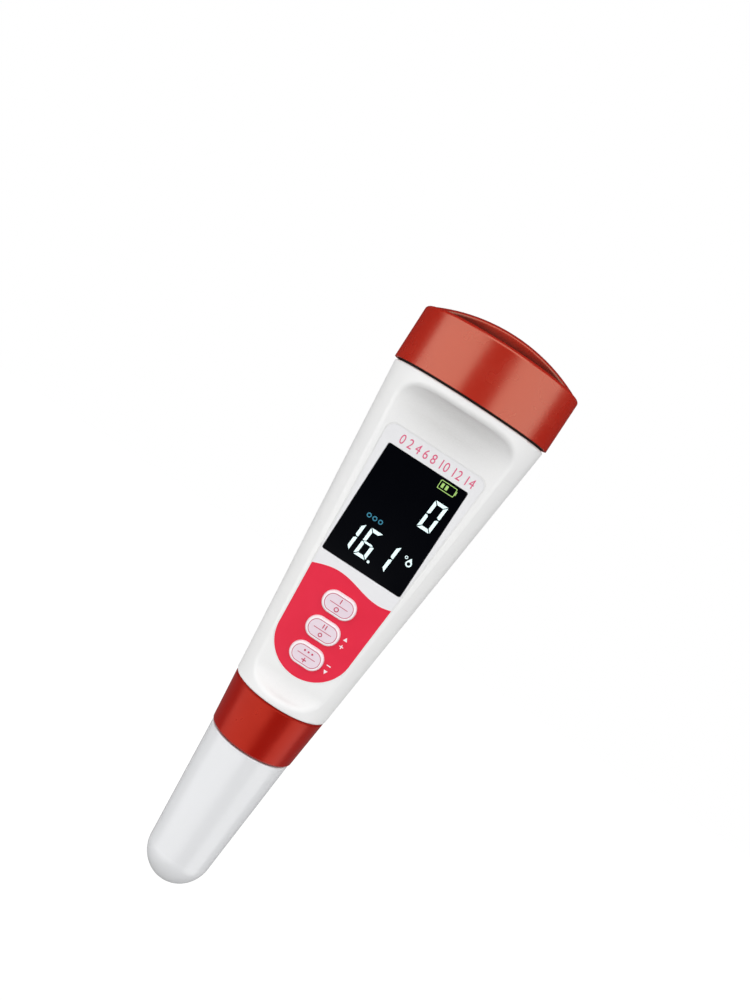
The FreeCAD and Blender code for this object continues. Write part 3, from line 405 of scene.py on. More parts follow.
rubber_black = moulded("rubber_black", tone(18, 18, 18), tone(12, 12, 12), (0.65, 0.75),
                       grain=6e-6)
rubber_grey = moulded("rubber_grey", tone(120, 122, 124), tone(108, 110, 112), (0.6, 0.7),
                      grain=5e-6)
print("moulded finishes:", len(bpy.data.materials))

# %% [markdown]
# The finishes of what is inside
# Metal is the same recipe with the metallic socket at 1 and the tone of the metal. Brushed sheet
# has a noise that is drawn out along one axis, so its bump is made of long fine lines. Glass lets
# light through, with faint streaks in its tint and its gloss. The board's traces are the joints of a
# brick pattern, and the pores of foam are the cells of a cell pattern.

# %% Functions for metal, glass, board and foam


def sheet_metal(name, first, second, gloss):
    """Brushed sheet: fine lines along X in its bump and a slow change of gloss."""
    material, tree, shader = new_material(name)
    slow = add_noise(tree, 90)
    tree.links.new(add_two_tones(tree, slow, first, second), shader.inputs["Base Color"])
    tree.links.new(add_range(tree, add_noise(tree, 300), *gloss), shader.inputs["Roughness"])
    add_grain(tree, shader, add_noise(tree, 3000, 2.0, (0.05, 1, 1)), 2e-6)
    shader.inputs["Metallic"].default_value = 1.0
    return material


def clear(name, tint, gloss, refraction):
    """A clear solid with faint streaks in its tint and its gloss."""
    material, tree, shader = new_material(name)
    streaks = add_two_tones(tree, add_noise(tree, 60), tint, (1, 1, 1, 1))
    tree.links.new(streaks, shader.inputs["Base Color"])
    tree.links.new(add_range(tree, add_noise(tree, 200), *gloss), shader.inputs["Roughness"])
    shader.inputs["Transmission Weight"].default_value = 1.0
    shader.inputs["IOR"].default_value = refraction
    return material


def solder_mask(name):
    """Green lacquer over copper: the traces show as paler, slightly raised bands."""
    material, tree, shader = new_material(name)
    place = tree.nodes.new("ShaderNodeTexCoord")
    traces = tree.nodes.new("ShaderNodeTexBrick")
    traces.inputs["Scale"].default_value = 220
    traces.inputs["Color1"].default_value = tone(18, 92, 52)
    traces.inputs["Color2"].default_value = tone(22, 100, 58)
    traces.inputs["Mortar"].default_value = tone(44, 132, 80)
    traces.inputs["Mortar Size"].default_value = 0.05
    turn = tree.nodes.new("ShaderNodeMapping")
    turn.inputs["Rotation"].default_value = (math.pi / 2, 0, 0)
    tree.links.new(place.outputs["Object"], turn.inputs["Vector"])
    tree.links.new(turn.outputs[0], traces.inputs["Vector"])
    tree.links.new(traces.outputs["Color"], shader.inputs["Base Color"])
    tree.links.new(add_range(tree, add_noise(tree, 200), 0.25, 0.4), shader.inputs["Roughness"])
    add_grain(tree, shader, traces.outputs["Fac"], 2e-5)
    return material


def porous(name, first, second, pore_scale, depth):
    """Open foam: round pores from a cell pattern, deeper than the skin, with painted shade in them."""
    material, tree, shader = new_material(name)
    place = tree.nodes.new("ShaderNodeTexCoord")
    pores = tree.nodes.new("ShaderNodeTexVoronoi")
    pores.inputs["Scale"].default_value = pore_scale
    tree.links.new(place.outputs["Object"], pores.inputs["Vector"])
    tree.links.new(add_two_tones(tree, pores.outputs["Distance"], first, second),
                   shader.inputs["Base Color"])
    shader.inputs["Roughness"].default_value = 0.9
    add_grain(tree, shader, pores.outputs["Distance"], depth)
    return material


print("finishes so far:", len(bpy.data.materials))

# %% A finish for every slot
FINISHES = {
    "housing_plastic": white_moulding,
    "cap_red": cap_red,
    "ring_red": ring_red,
    "clear_plastic": milky_cap,
    "label_film": film,
    "display_black": window_black,
    "display_glass": moulded("display_glass", tone(96, 104, 100), tone(88, 96, 93), (0.06, 0.10),
                             2e-7),
    "light_guide": clear("light_guide", tone(225, 236, 240), (0.12, 0.2), 1.49),
    "key_plastic": key_moulding,
    "black_plastic": black_moulding,
    "plunger_plastic": plunger_moulding,
    "probe_plastic": probe_moulding,
    "cover_plastic": cover_moulding,
    "rubber_black": rubber_black,
    "rubber_grey": rubber_grey,
    "board_green": solder_mask("board_green"),
    "steel": sheet_metal("steel", tone(200, 202, 205), tone(186, 188, 192), (0.25, 0.38)),
    "contact_gold": sheet_metal("contact_gold", tone(226, 184, 102), tone(214, 170, 88),
                                (0.18, 0.3)),
    "silver_wire": sheet_metal("silver_wire", tone(220, 220, 222), tone(150, 148, 145),
                               (0.3, 0.5)),
    "bulb_glass": clear("bulb_glass", tone(238, 246, 244), (0.01, 0.04), 1.5),
    "junction_ceramic": moulded("junction_ceramic", tone(232, 226, 212), tone(222, 214, 198),
                                (0.7, 0.85), 8e-6),
    "sponge": porous("sponge", tone(206, 178, 92), tone(238, 216, 138), 1400, 1.5e-4),
}
slot_of = {entry["node"]: entry["material_slot"] for entry in frame["record"]["subparts"]}
for name, node in nodes.items():
    node.data.materials.clear()
    node.data.materials.append(FINISHES[slot_of[name]])
print("slots dressed:", len(set(slot_of.values())), "of", len(FINISHES))

# %% [markdown]
# A plane to print on
# The facet leans by a few degrees, so drawing on it in world coordinates would be guesswork. The
# keys move straight into the facet, so their joint gives its direction, and the window's middle
# gives its centre. From these comes one matrix: X to the right, Y up the facet and Z out of it.
# Every mark below is drawn flat, in millimetres from the display's centre, and laid on the facet by
# that matrix.

# %% The facet's matrix
WINDOW_SINK = 0.15
WINDOW_THICK = 1.1

press = [joint for joint in frame["joints"] if joint["name"] == "power_press"][0]
into = Vector(press["axis"]).normalized()
window_low, window_high = (Vector(corner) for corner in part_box("display_window"))
centre = (window_low + window_high) / 2 - into * (WINDOW_SINK + WINDOW_THICK / 2) * MM
right = Vector((1, 0, 0))
facet_axes = Matrix((right, right.cross(into), -into)).transposed().to_4x4()
on_facet = Matrix.Translation(centre) @ facet_axes
print("lean of the facet in degrees:", round(math.degrees(math.asin(into.z)), 2))

# %% Helpers for flat marks
FILM_SINK = 0.10
KEY_PROUD = 0.6
INK = 0.02
FLAT_JOIN = 0.0005
DISC_STEPS, CORNER_STEPS, END_STEPS = 32, 12, 48


def finish_piece(name, mesh, material, body):
    """Links a placed mesh as a piece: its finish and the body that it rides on."""
    mesh.name = name
    mesh.materials.clear()
    mesh.materials.append(material)
    piece = bpy.data.objects.new(name, mesh)
    scene.collection.objects.link(piece)
    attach(piece, body)
    return piece


def close_mesh(mesh, gap):
    """Joins points closer than the gap and turns all faces outwards."""
    work = bmesh.new()
    work.from_mesh(mesh)
    bmesh.ops.remove_doubles(work, verts=work.verts, dist=gap)
    bmesh.ops.recalc_face_normals(work, faces=work.faces)
    work.to_mesh(mesh)
    work.free()


def mesh_of(curve):
    """The mesh of a flat curve or a text, which is then no longer needed."""
    holder = bpy.data.objects.new("flat_curve", curve)
    scene.collection.objects.link(holder)
    bpy.context.view_layer.update()
    mesh = bpy.data.meshes.new_from_object(holder)
    bpy.data.objects.remove(holder)
    close_mesh(mesh, FLAT_JOIN)
    return mesh


def flat_mesh(loops, thick=INK):
    """Fills closed outlines to a thin plate; an outline inside another one is a hole."""
    curve = bpy.data.curves.new("outline", "CURVE")
    curve.dimensions = "2D"
    curve.fill_mode = "BOTH"
    curve.extrude = thick / 2
    for loop in loops:
        spline = curve.splines.new("POLY")
        spline.points.add(len(loop) - 1)
        spline.use_cyclic_u = True
        for point, (x, y) in zip(spline.points, loop):
            point.co = (x, y, 0, 1)
    return mesh_of(curve)


def lay_on_facet(mesh, height, thick=INK):
    """Moves a flat plate so that it lies on the level that is this high above the facet."""
    lift = Matrix.Translation((0, 0, (height + thick / 2) * MM))
    mesh.transform(on_facet @ lift @ Matrix.Diagonal((MM, MM, MM, 1)))
    return mesh


def print_on(name, loops, height, finish, body):
    """One colour of print as a piece of its own."""
    finish_piece(name, lay_on_facet(flat_mesh(loops), height), finish, body)


def arc(x, y, radius, start, end, steps):
    """Points on an arc about a centre, from one angle in degrees to another."""
    turns = [math.radians(start + (end - start) * k / steps) for k in range(steps + 1)]
    return [(x + radius * math.cos(turn), y + radius * math.sin(turn)) for turn in turns]


def disc(x, y, radius):
    """A full circle."""
    return arc(x, y, radius, 0, 360 * (DISC_STEPS - 1) / DISC_STEPS, DISC_STEPS - 1)


def bar(x, y, width, height, corner=0.0):
    """A rectangle about a centre, with round corners if a radius is given."""
    if corner == 0:
        return [(x - width / 2, y - height / 2), (x + width / 2, y - height / 2),
                (x + width / 2, y + height / 2), (x - width / 2, y + height / 2)]
    points = []
    for side_x, side_y, start in ((1, 1, 0), (-1, 1, 90), (-1, -1, 180), (1, -1, 270)):
        corner_x = x + side_x * (width / 2 - corner)
        corner_y = y + side_y * (height / 2 - corner)
        points += arc(corner_x, corner_y, corner, start, start + 90, CORNER_STEPS)
    return points


print("points of a round-cornered outline:", len(bar(0, 0, 2, 2, 0.5)))

# %% [markdown]
# The printed label
# The film carries a pink panel round the keys. Its upper edge is a slow wave and its other edges are
# the film's own: sides that draw in downwards and a round end. The wave is a smooth curve through
# four points. It is printed as a plate 0.02 mm thick, so its edge is sharp at any distance, which a
# painted pattern in a material would not give.

# %% Inks


def ink(name, first, second, **settings):
    """Printing ink: nearly one tone, with the fine unevenness of a screen print."""
    return moulded(name, first, second, (0.38, 0.46), 4e-7, 6000, 120, **settings)


pink_ink = ink("pink_ink", tone(234, 36, 68), tone(230, 31, 63), Specular_IOR_Level=0.35)
soft_pink_ink = ink("soft_pink_ink", tone(228, 96, 136), tone(222, 88, 128))
line_ink = ink("line_ink", tone(200, 62, 100), tone(194, 56, 94))
pale_ink = ink("pale_ink", tone(238, 222, 232), tone(235, 217, 228))
skirt_moulding = moulded("skirt_moulding", tone(252, 222, 230), tone(250, 216, 226), (0.45, 0.55))
white_ink = ink("white_ink", tone(252, 240, 244), tone(250, 234, 240))
print("finishes so far:", len(bpy.data.materials))

# %% The pink panel
FILM_TOP, FILM_STRAIGHT = 18.0, 32.0
FILM_HALF_TOP, FILM_HALF_LOW = 12.5, 9.2
WAVE = ((-10.2, -17.5), (-3.8, -15.9), (6.9, -17.7), (10.2, -17.1))
KEY_SPOTS = {"power_key": -22.3, "plus_key": -29.0, "minus_key": -35.7}
KEY_OPENING = (8.25, 5.45, 2.65)


def film_half(height):
    """Half the film's width at a height on the facet."""
    share = (FILM_TOP - height) / (FILM_TOP + FILM_STRAIGHT)
    return FILM_HALF_TOP + (FILM_HALF_LOW - FILM_HALF_TOP) * share


def wave_points(steps=14):
    """The panel's upper edge from left to right, level at the crest and at the dip."""
    points = []
    for k in range(len(WAVE) - 1):
        (x0, y0), (x1, y1) = WAVE[k], WAVE[k + 1]
        for step in range(steps):
            share = step / steps
            if k == 0:
                ease = math.sin(share * math.pi / 2)
            elif k == 1:
                ease = (1 - math.cos(share * math.pi)) / 2
            else:
                ease = 1 - math.cos(share * math.pi / 2)
            points.append((x0 + (x1 - x0) * share, y0 + (y1 - y0) * ease))
    return points + [WAVE[-1]]


edge_line = wave_points()
edge_line[0] = (-film_half(WAVE[0][1]), WAVE[0][1])
edge_line[-1] = (film_half(WAVE[-1][1]), WAVE[-1][1])
panel_outline = edge_line + arc(0, -FILM_STRAIGHT, FILM_HALF_LOW, 0, -180, END_STEPS)
key_holes = [bar(0, level, *KEY_OPENING) for level in KEY_SPOTS.values()]
print_on("pink_panel", [panel_outline] + key_holes, -FILM_SINK, pink_ink, "housing")
print("panel outline points:", len(panel_outline))

# %% [markdown]
# Numbers and marks beside the keys
# A row of plain numbers stands above the window. The text object is the quick way to it. It is made
# a mesh first and then stretched to the box that the row fills on the label. The marks beside the
# keys are two triangles, a plus and a minus.

# %% Numbers and marks
SCALE_TEXT = "0 2 4 6 8 10 12 14"
SCALE_BOX = (-8.5, 14.6, 10.2, 16.8)
TEXT_SIZE = 3.0
MARK_X = 5.35
MARK_HALF, MARK_TALL = 0.5, 0.9
UP_FOOT, PLUS_LEVEL, MINUS_LEVEL, DOWN_FOOT = -28.35, -29.85, -35.0, -36.2
PLUS_REACH, PLUS_HALF = 0.48, 0.11
MINUS_SIZE = (1.0, 0.24)


def fit_to_box(mesh, box):
    """Stretches a flat mesh to a box given as left, low, right, high."""
    left = min(vertex.co.x for vertex in mesh.vertices)
    wide = max(vertex.co.x for vertex in mesh.vertices) - left
    low = min(vertex.co.y for vertex in mesh.vertices)
    tall = max(vertex.co.y for vertex in mesh.vertices) - low
    grow = ((box[2] - box[0]) / wide, (box[3] - box[1]) / tall)
    move = (box[0] - left * grow[0], box[1] - low * grow[1])
    mesh.transform(Matrix.Translation((*move, 0)) @ Matrix.Diagonal((*grow, 1, 1)))
    return mesh


def cross_outline(x, y, reach, half):
    """A plus sign about a centre, as far as its reach and twice the half width thick."""
    corners = [(half, half), (half, reach), (-half, reach), (-half, half),
               (-reach, half), (-reach, -half), (-half, -half), (-half, -reach),
               (half, -reach), (half, -half), (reach, -half), (reach, half)]
    return [(x + along, y + up) for along, up in corners]


def text_mesh(words):
    """Plain numbers as a thin plate."""
    text = bpy.data.curves.new("numbers", "FONT")
    text.body = words
    text.size = TEXT_SIZE
    text.extrude = INK / 2
    text.resolution_u = 4
    return mesh_of(text)


def triangle(x, foot, tall):
    """A triangle on a foot line; it points up, or down if its height is negative."""
    return [(x - MARK_HALF, foot), (x + MARK_HALF, foot), (x, foot + tall)]


numbers = lay_on_facet(fit_to_box(text_mesh(SCALE_TEXT), SCALE_BOX), -FILM_SINK)
finish_piece("scale_numbers", numbers, soft_pink_ink, "housing")

up_mark = triangle(MARK_X, UP_FOOT, MARK_TALL)
down_mark = triangle(MARK_X, DOWN_FOOT, -MARK_TALL)
plus_mark = cross_outline(MARK_X, PLUS_LEVEL, PLUS_REACH, PLUS_HALF)
minus_mark = bar(MARK_X, MINUS_LEVEL, *MINUS_SIZE)
side_marks = [up_mark, down_mark, plus_mark, minus_mark]
print_on("side_marks", side_marks, -FILM_SINK + INK, white_ink, "housing")
print("marks:", len(side_marks))

# %% [markdown]
# The keys
# Each key cap is a solid of its own that stands in an opening of the film. Its front is printed in
# three steps, as on the real one: a thin line near its edge, a pale field inside the line, and a
# sign above and below a middle line. The signs are plain strokes of this part's own: a stroke over a
# ring for power, two bars over a small ring to hold a reading, and three dots over a cross for the
# choice of what is measured.

# %% Key prints
KEY_WIDE, KEY_TALL, KEY_CORNER = 7.8, 5.0, 2.42
LINE_INSET, LINE_WIDTH = 0.46, 0.15
MIDDLE_LINE = (4.5, 0.15)
SIGN_RISE, SIGN_STROKE = 1.02, 0.24
POWER_TALL, POWER_RING = 1.1, (0.58, 0.36)
HOLD_APART, HOLD_TALL, HOLD_RING = 0.32, 1.05, (0.5, 0.28)
DOTS_APART, DOT_RADIUS = 0.95, 0.24
CROSS_REACH, CROSS_HALF = 0.58, 0.12


def key_outline(level, inset):
    """The key's outline, drawn in by an inset."""
    return bar(0, level, KEY_WIDE - 2 * inset, KEY_TALL - 2 * inset, KEY_CORNER - inset)


def ring_loops(x, y, outer, inner):
    """A ring as an outline and its hole."""
    return [disc(x, y, outer), disc(x, y, inner)]


def key_signs(key, level):
    """Outlines of the signs above and below the middle line."""
    high, low = level + SIGN_RISE, level - SIGN_RISE
    if key == "power_key":
        return [bar(0, high, SIGN_STROKE, POWER_TALL)] + ring_loops(0, low, *POWER_RING)
    if key == "plus_key":
        strokes = [bar(x, high, SIGN_STROKE, HOLD_TALL) for x in (-HOLD_APART, HOLD_APART)]
        return strokes + ring_loops(0, low, *HOLD_RING)
    dots = [disc(x, high, DOT_RADIUS) for x in (-DOTS_APART, 0, DOTS_APART)]
    return dots + [cross_outline(0, low, CROSS_REACH, CROSS_HALF)]


for key, level in KEY_SPOTS.items():
    border = [key_outline(level, LINE_INSET), key_outline(level, LINE_INSET + LINE_WIDTH)]
    print_on(f"{key}_border", border, KEY_PROUD, line_ink, key)
    field = [key_outline(level, LINE_INSET + LINE_WIDTH)]
    print_on(f"{key}_field", field, KEY_PROUD, pale_ink, key)
    signs = [bar(0, level, *MIDDLE_LINE)] + key_signs(key, level)
    print_on(f"{key}_signs", signs, KEY_PROUD + INK, line_ink, key)
print("key prints:", 3 * len(KEY_SPOTS))

# %% [markdown]
# Soft edges of the keys and of the label
# No dark gap shows round the keys of the real pen: a thin skirt, moulded to each key, fills it, and
# a white bead of glue fills the gap round the label. Both are flat rings between two outlines. The
# skirt belongs to its key and moves with it, the bead stays with the housing.

# %% Skirts and bead
SKIRT_OPENING = (8.14, 5.34, 2.59)
SKIRT_LEVEL, SKIRT_THICK = -0.45, 0.33
LABEL_CORNER = 2.2
SEAT_GAP = 0.2
EDGE_PLAY = 0.01
BEAD_LEVEL, BEAD_THICK = -0.39, 0.34


def corner_arc(start, end, radius):
    """Points of the arc of a radius that turns left from start to end."""
    (x0, y0), (x1, y1) = start, end
    half = math.hypot(x1 - x0, y1 - y0) / 2
    rise = math.sqrt(radius ** 2 - half ** 2) / half
    x = (x0 + x1 - (y1 - y0) * rise) / 2
    y = (y0 + y1 + (x1 - x0) * rise) / 2
    first, last = (math.degrees(math.atan2(v - y, u - x)) for u, v in (start, end))
    return arc(x, y, radius, first, last, CORNER_STEPS)


def label_outline(grow):
    """The film's outline, grown all round."""
    half_top, half_low = FILM_HALF_TOP + grow, FILM_HALF_LOW + grow
    top = FILM_TOP - SEAT_GAP + grow
    slope = (half_top - half_low) / (FILM_TOP + FILM_STRAIGHT) * LABEL_CORNER
    side_end = (half_top - slope, top - LABEL_CORNER)
    top_end = (half_top - LABEL_CORNER, top)
    right_corner = corner_arc(side_end, top_end, LABEL_CORNER)
    left_corner = [(-x, y) for x, y in reversed(right_corner)]
    return right_corner + left_corner + arc(0, -FILM_STRAIGHT, half_low, 180, 360, END_STEPS)


for key, level in KEY_SPOTS.items():
    edges = [bar(0, level, *SKIRT_OPENING), key_outline(level, -EDGE_PLAY)]
    skirt = lay_on_facet(flat_mesh(edges, SKIRT_THICK), SKIRT_LEVEL, SKIRT_THICK)
    finish_piece(f"{key}_skirt", skirt, skirt_moulding, key)
bead_edges = [label_outline(SEAT_GAP - EDGE_PLAY), label_outline(EDGE_PLAY)]
bead = lay_on_facet(flat_mesh(bead_edges, BEAD_THICK), BEAD_LEVEL, BEAD_THICK)
finish_piece("label_bead", bead, white_moulding, "housing")
print("skirts:", len(KEY_SPOTS))

# %% [markdown]
# The figures of the display
# A figure of seven bars follows a rule, so one function cuts the bars of any digit from the same
# measures: an outer box, one bar thickness and one gap. The ends are cut at 45 degrees, so the gaps
# run diagonally at the corners, and the whole figure leans a little. The bars glow faintly, because
# the real ones are lit from behind.

# %% The bars of a figure
DIGIT_BARS = {"0": "abcdef", "1": "bc", "6": "acdefg"}
BAR_THICK = 0.76
BAR_GAP = 0.15
DIGIT_LEAN = 0.07


def digit_bars(figure, left, low, wide, tall):
    """Outlines of the lit bars of one digit inside its box."""
    t, gap, middle = BAR_THICK, BAR_GAP, tall / 2
    half = t / 2
    shapes = {
        "a": [(gap, tall), (t + gap, tall - t), (wide - t - gap, tall - t), (wide - gap, tall)],
        "d": [(gap, 0), (wide - gap, 0), (wide - t - gap, t), (t + gap, t)],
        "g": [(half, middle), (t, middle - half + gap), (wide - t, middle - half + gap),
              (wide - half, middle), (wide - t, middle + half - gap), (t, middle + half - gap)],
        "f": [(0, tall - gap), (0, middle + gap), (half, middle + gap),
              (t, middle + half + gap / 2), (t, tall - t - gap)],
        "e": [(0, gap), (t, t + gap), (t, middle - half - gap / 2), (half, middle - gap),
              (0, middle - gap)],
    }
    shapes["b"] = [(wide - x, y) for x, y in shapes["f"]]
    shapes["c"] = [(wide - x, y) for x, y in shapes["e"]]
    loops = []
    for letter in DIGIT_BARS[figure]:
        loops.append([(left + x + DIGIT_LEAN * (y - middle), low + y) for x, y in shapes[letter]])
    return loops


print("bars of each figure:", {figure: len(lit) for figure, lit in DIGIT_BARS.items()})

# %% Finishes of what is lit


def glowing(name, first, second, strength):
    """A lit bar: its own tone, a faint glow of the same tone and the gloss of the window."""
    material = moulded(name, first, second, (0.14, 0.2), 1e-7, 5000, 400,
                       Emission_Strength=strength, Specular_IOR_Level=WINDOW_SHINE)
    shader_of(material).inputs["Emission Color"].default_value = first
    return material


lit_white = glowing("lit_white", tone(232, 253, 253), tone(226, 249, 250), 0.22)
lit_green = glowing("lit_green", tone(172, 212, 122), tone(166, 206, 116), 0.12)
lit_blue = glowing("lit_blue", tone(66, 132, 156), tone(60, 126, 150), 0.08)
print("finishes so far:", len(bpy.data.materials))

# %% What the display shows
LOWER_FOOT, LOWER_SIZE = -10.9, (3.05, 6.9)
DIGITS = (
    ("0", 4.85, 1.6, 3.25, 7.0),
    ("1", -7.78, LOWER_FOOT, *LOWER_SIZE),
    ("6", -3.5, LOWER_FOOT, *LOWER_SIZE),
    ("1", 1.25, LOWER_FOOT, *LOWER_SIZE),
)
POINT_SPOT = (0.1, -10.75, 0.32)
DEGREE_SPOT = (6.55, -5.3, 0.36, 0.2)
DROP_X, DROP_Y, DROP_TIP = 7.7, -6.3, -4.95
DROP_OUTER, DROP_INNER, DROP_STEPS = 0.72, 0.42, 20
BATTERY_X, BATTERY_Y = 5.75, 12.0
BATTERY_SHELL, BATTERY_INSIDE = (4.1, 2.1, 0.25), (3.78, 1.78, 0.1)
BATTERY_TIP_X, BATTERY_TIP = 7.95, (0.22, 0.9)
CHARGE_X, CHARGE_SIZE = (4.6, 5.6), (0.6, 1.05)
UNIT_X, UNIT_Y, UNIT_RING = (-5.2, -3.75, -2.3), -2.0, (0.55, 0.31)


def light_up(name, loops, finish):
    """One colour of lit marks on the display's window."""
    print_on(name, loops, -WINDOW_SINK, finish, "housing")


figures = []
for digit in DIGITS:
    figures += digit_bars(*digit)
figures += [disc(*POINT_SPOT)] + ring_loops(*DEGREE_SPOT)
drop_edge = arc(DROP_X, DROP_Y, DROP_OUTER, -210, 30, DROP_STEPS)
figures += [drop_edge + [(DROP_X, DROP_TIP)], disc(DROP_X, DROP_Y, DROP_INNER)]
light_up("display_digits", figures, lit_white)

battery_sign = [bar(BATTERY_X, BATTERY_Y, *size) for size in (BATTERY_SHELL, BATTERY_INSIDE)]
battery_sign.append(bar(BATTERY_TIP_X, BATTERY_Y, *BATTERY_TIP))
battery_sign += [bar(x, BATTERY_Y, *CHARGE_SIZE) for x in CHARGE_X]
light_up("battery_sign", battery_sign, lit_green)

unit_marks = []
for x in UNIT_X:
    unit_marks += ring_loops(x, UNIT_Y, *UNIT_RING)
light_up("unit_marks", unit_marks, lit_blue)
print("lit outlines:", len(figures), len(battery_sign), len(unit_marks))

# %% [markdown]
# Screw threads
# The battery cap and the lock ring both turn on a thread with a 3 mm lead. A thread follows a rule,
# so Geometry Nodes make it: a spiral curve, a trapezoid swept along it, and a ridge height that runs
# out at both ends. The tree has inputs for the cylinder's radius, the turns, the rise, the level and
# the ridge. The result is baked to a plain mesh, which rides on the housing.

# %% The thread's node tree
THREAD_SIZES = ("Radius", "Turns", "Rise", "Level", "Ridge foot", "Ridge top", "Ridge height")
THREAD_STEPS = 72
RUN_OUT = 12.0


def make_thread_tree():
    """A node group that builds a thread from named sizes."""
    tree = bpy.data.node_groups.new("screw_thread", "GeometryNodeTree")
    link = tree.links.new
    tree.interface.new_socket("Thread", in_out="OUTPUT", socket_type="NodeSocketGeometry")
    for label in THREAD_SIZES:
        tree.interface.new_socket(label, in_out="INPUT", socket_type="NodeSocketFloat")
    tree.interface.new_socket("Finish", in_out="INPUT", socket_type="NodeSocketMaterial")
    sizes = tree.nodes.new("NodeGroupInput").outputs
    spiral = tree.nodes.new("GeometryNodeCurveSpiral")
    spiral.inputs["Resolution"].default_value = THREAD_STEPS
    spiral.inputs["Reverse"].default_value = False
    for name, label in (("Rotations", "Turns"), ("Start Radius", "Radius"),
                        ("End Radius", "Radius"), ("Height", "Rise")):
        link(sizes[label], spiral.inputs[name])
    upright = tree.nodes.new("GeometryNodeSetCurveNormal")
    upright.mode = "Z_UP"
    link(spiral.outputs[0], upright.inputs["Curve"])
    along = tree.nodes.new("GeometryNodeSplineParameter").outputs["Factor"]
    to_end = add_math(tree, "SUBTRACT", 1.0, along)
    nearest = add_math(tree, "MINIMUM", along, to_end)
    growth = add_math(tree, "MINIMUM", add_math(tree, "MULTIPLY", nearest, RUN_OUT), 1.0)
    ridge = tree.nodes.new("GeometryNodeCurvePrimitiveQuadrilateral")
    ridge.mode = "TRAPEZOID"
    ridge.inputs["Offset"].default_value = 0.0
    for name, label in (("Height", "Ridge height"), ("Bottom Width", "Ridge foot"),
                        ("Top Width", "Ridge top")):
        link(sizes[label], ridge.inputs[name])
    turned = tree.nodes.new("GeometryNodeTransform")
    turned.inputs["Rotation"].default_value = (0, 0, -math.pi / 2)
    link(ridge.outputs[0], turned.inputs["Geometry"])
    swept = tree.nodes.new("GeometryNodeCurveToMesh")
    swept.inputs["Fill Caps"].default_value = True
    link(upright.outputs[0], swept.inputs["Curve"])
    link(growth, swept.inputs["Scale"])
    link(turned.outputs[0], swept.inputs["Profile Curve"])
    place = tree.nodes.new("ShaderNodeCombineXYZ")
    link(sizes["Level"], place.inputs["Z"])
    moved = tree.nodes.new("GeometryNodeTransform")
    link(swept.outputs[0], moved.inputs["Geometry"])
    link(place.outputs[0], moved.inputs["Translation"])
    real = tree.nodes.new("GeometryNodeRealizeInstances")
    link(moved.outputs[0], real.inputs[0])
    dressed = tree.nodes.new("GeometryNodeSetMaterial")
    link(real.outputs[0], dressed.inputs["Geometry"])
    link(sizes["Finish"], dressed.inputs["Material"])
    out = tree.nodes.new("NodeGroupOutput")
    link(dressed.outputs[0], out.inputs["Thread"])
    return tree


thread_tree = make_thread_tree()
print("thread nodes:", len(thread_tree.nodes))

# %% Threads on the neck and on the spigot
THREAD_LEAD = 3.0 * MM
THREAD_JOIN = 1e-7
RIDGE_FOOT, RIDGE_TOP = 1.3 * MM, 0.5 * MM
# A ridge's middle line lies outside the wall by its lift. The neck's thread starts below the
# housing's top by its drop, the spigot's above the housing's foot by its rise.
NECK_RADIUS, NECK_LIFT, NECK_DROP = 18.2 * MM, 0.2 * MM, 6.2 * MM
NECK_TURNS, NECK_RIDGE = 1.5, 0.7 * MM
SPIGOT_RADIUS, SPIGOT_LIFT, SPIGOT_RISE = 9.3 * MM, 0.15 * MM, 1.3 * MM
SPIGOT_TURNS, SPIGOT_RIDGE = 1.6, 0.6 * MM


def thread_sizes(radius, turns, level, height):
    """The tree's inputs for one thread; all threads share a lead and the widths of the ridge."""
    return {"Radius": radius, "Turns": turns, "Rise": turns * THREAD_LEAD, "Level": level,
            "Ridge foot": RIDGE_FOOT, "Ridge top": RIDGE_TOP, "Ridge height": height}


def make_thread(name, sizes, body, slot):
    """Builds one thread from the tree and bakes it to a plain mesh."""
    holder = bpy.data.objects.new(name, bpy.data.meshes.new(name))
    scene.collection.objects.link(holder)
    modifier = holder.modifiers.new("thread", "NODES")
    modifier.node_group = thread_tree
    values = {**sizes, "Finish": FINISHES[slot]}
    for item in thread_tree.interface.items_tree:
        if item.in_out == "INPUT":
            modifier[item.identifier] = values[item.name]
    bpy.context.view_layer.update()
    graph = bpy.context.evaluated_depsgraph_get()
    mesh = bpy.data.meshes.new_from_object(holder.evaluated_get(graph))
    holder.modifiers.remove(modifier)
    bpy.data.objects.remove(holder)
    close_mesh(mesh, THREAD_JOIN)
    return finish_piece(name, mesh, FINISHES[slot], body)


housing_low, housing_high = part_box("housing")
threads = {
    "neck_thread": thread_sizes(NECK_RADIUS + NECK_LIFT, NECK_TURNS,
                                housing_high[2] - NECK_DROP, NECK_RIDGE),
    "spigot_thread": thread_sizes(SPIGOT_RADIUS + SPIGOT_LIFT, SPIGOT_TURNS,
                                  housing_low[2] + SPIGOT_RISE, SPIGOT_RIDGE),
}
for name, sizes in threads.items():
    thread = make_thread(name, sizes, "housing", "housing_plastic")
    print(name, "faces:", len(thread.data.polygons))

# %% [markdown]
# Foam
# Two soft pieces sit in the pen: a wet sponge in the protective cap's end, which keeps the glass
# bulb moist, and a pad under the battery cap's roof. Both are turned shapes of cut foam, so their
# skins are uneven. Cut foam keeps its shape, so no cloth simulation is needed. Each is turned from a
# short profile with rounded edges, and a noise that depends on nothing but the place then draws
# every point a little inwards, so that the foam never touches its neighbours.

# %% A function that turns foam
FOAM_TURNS = 72


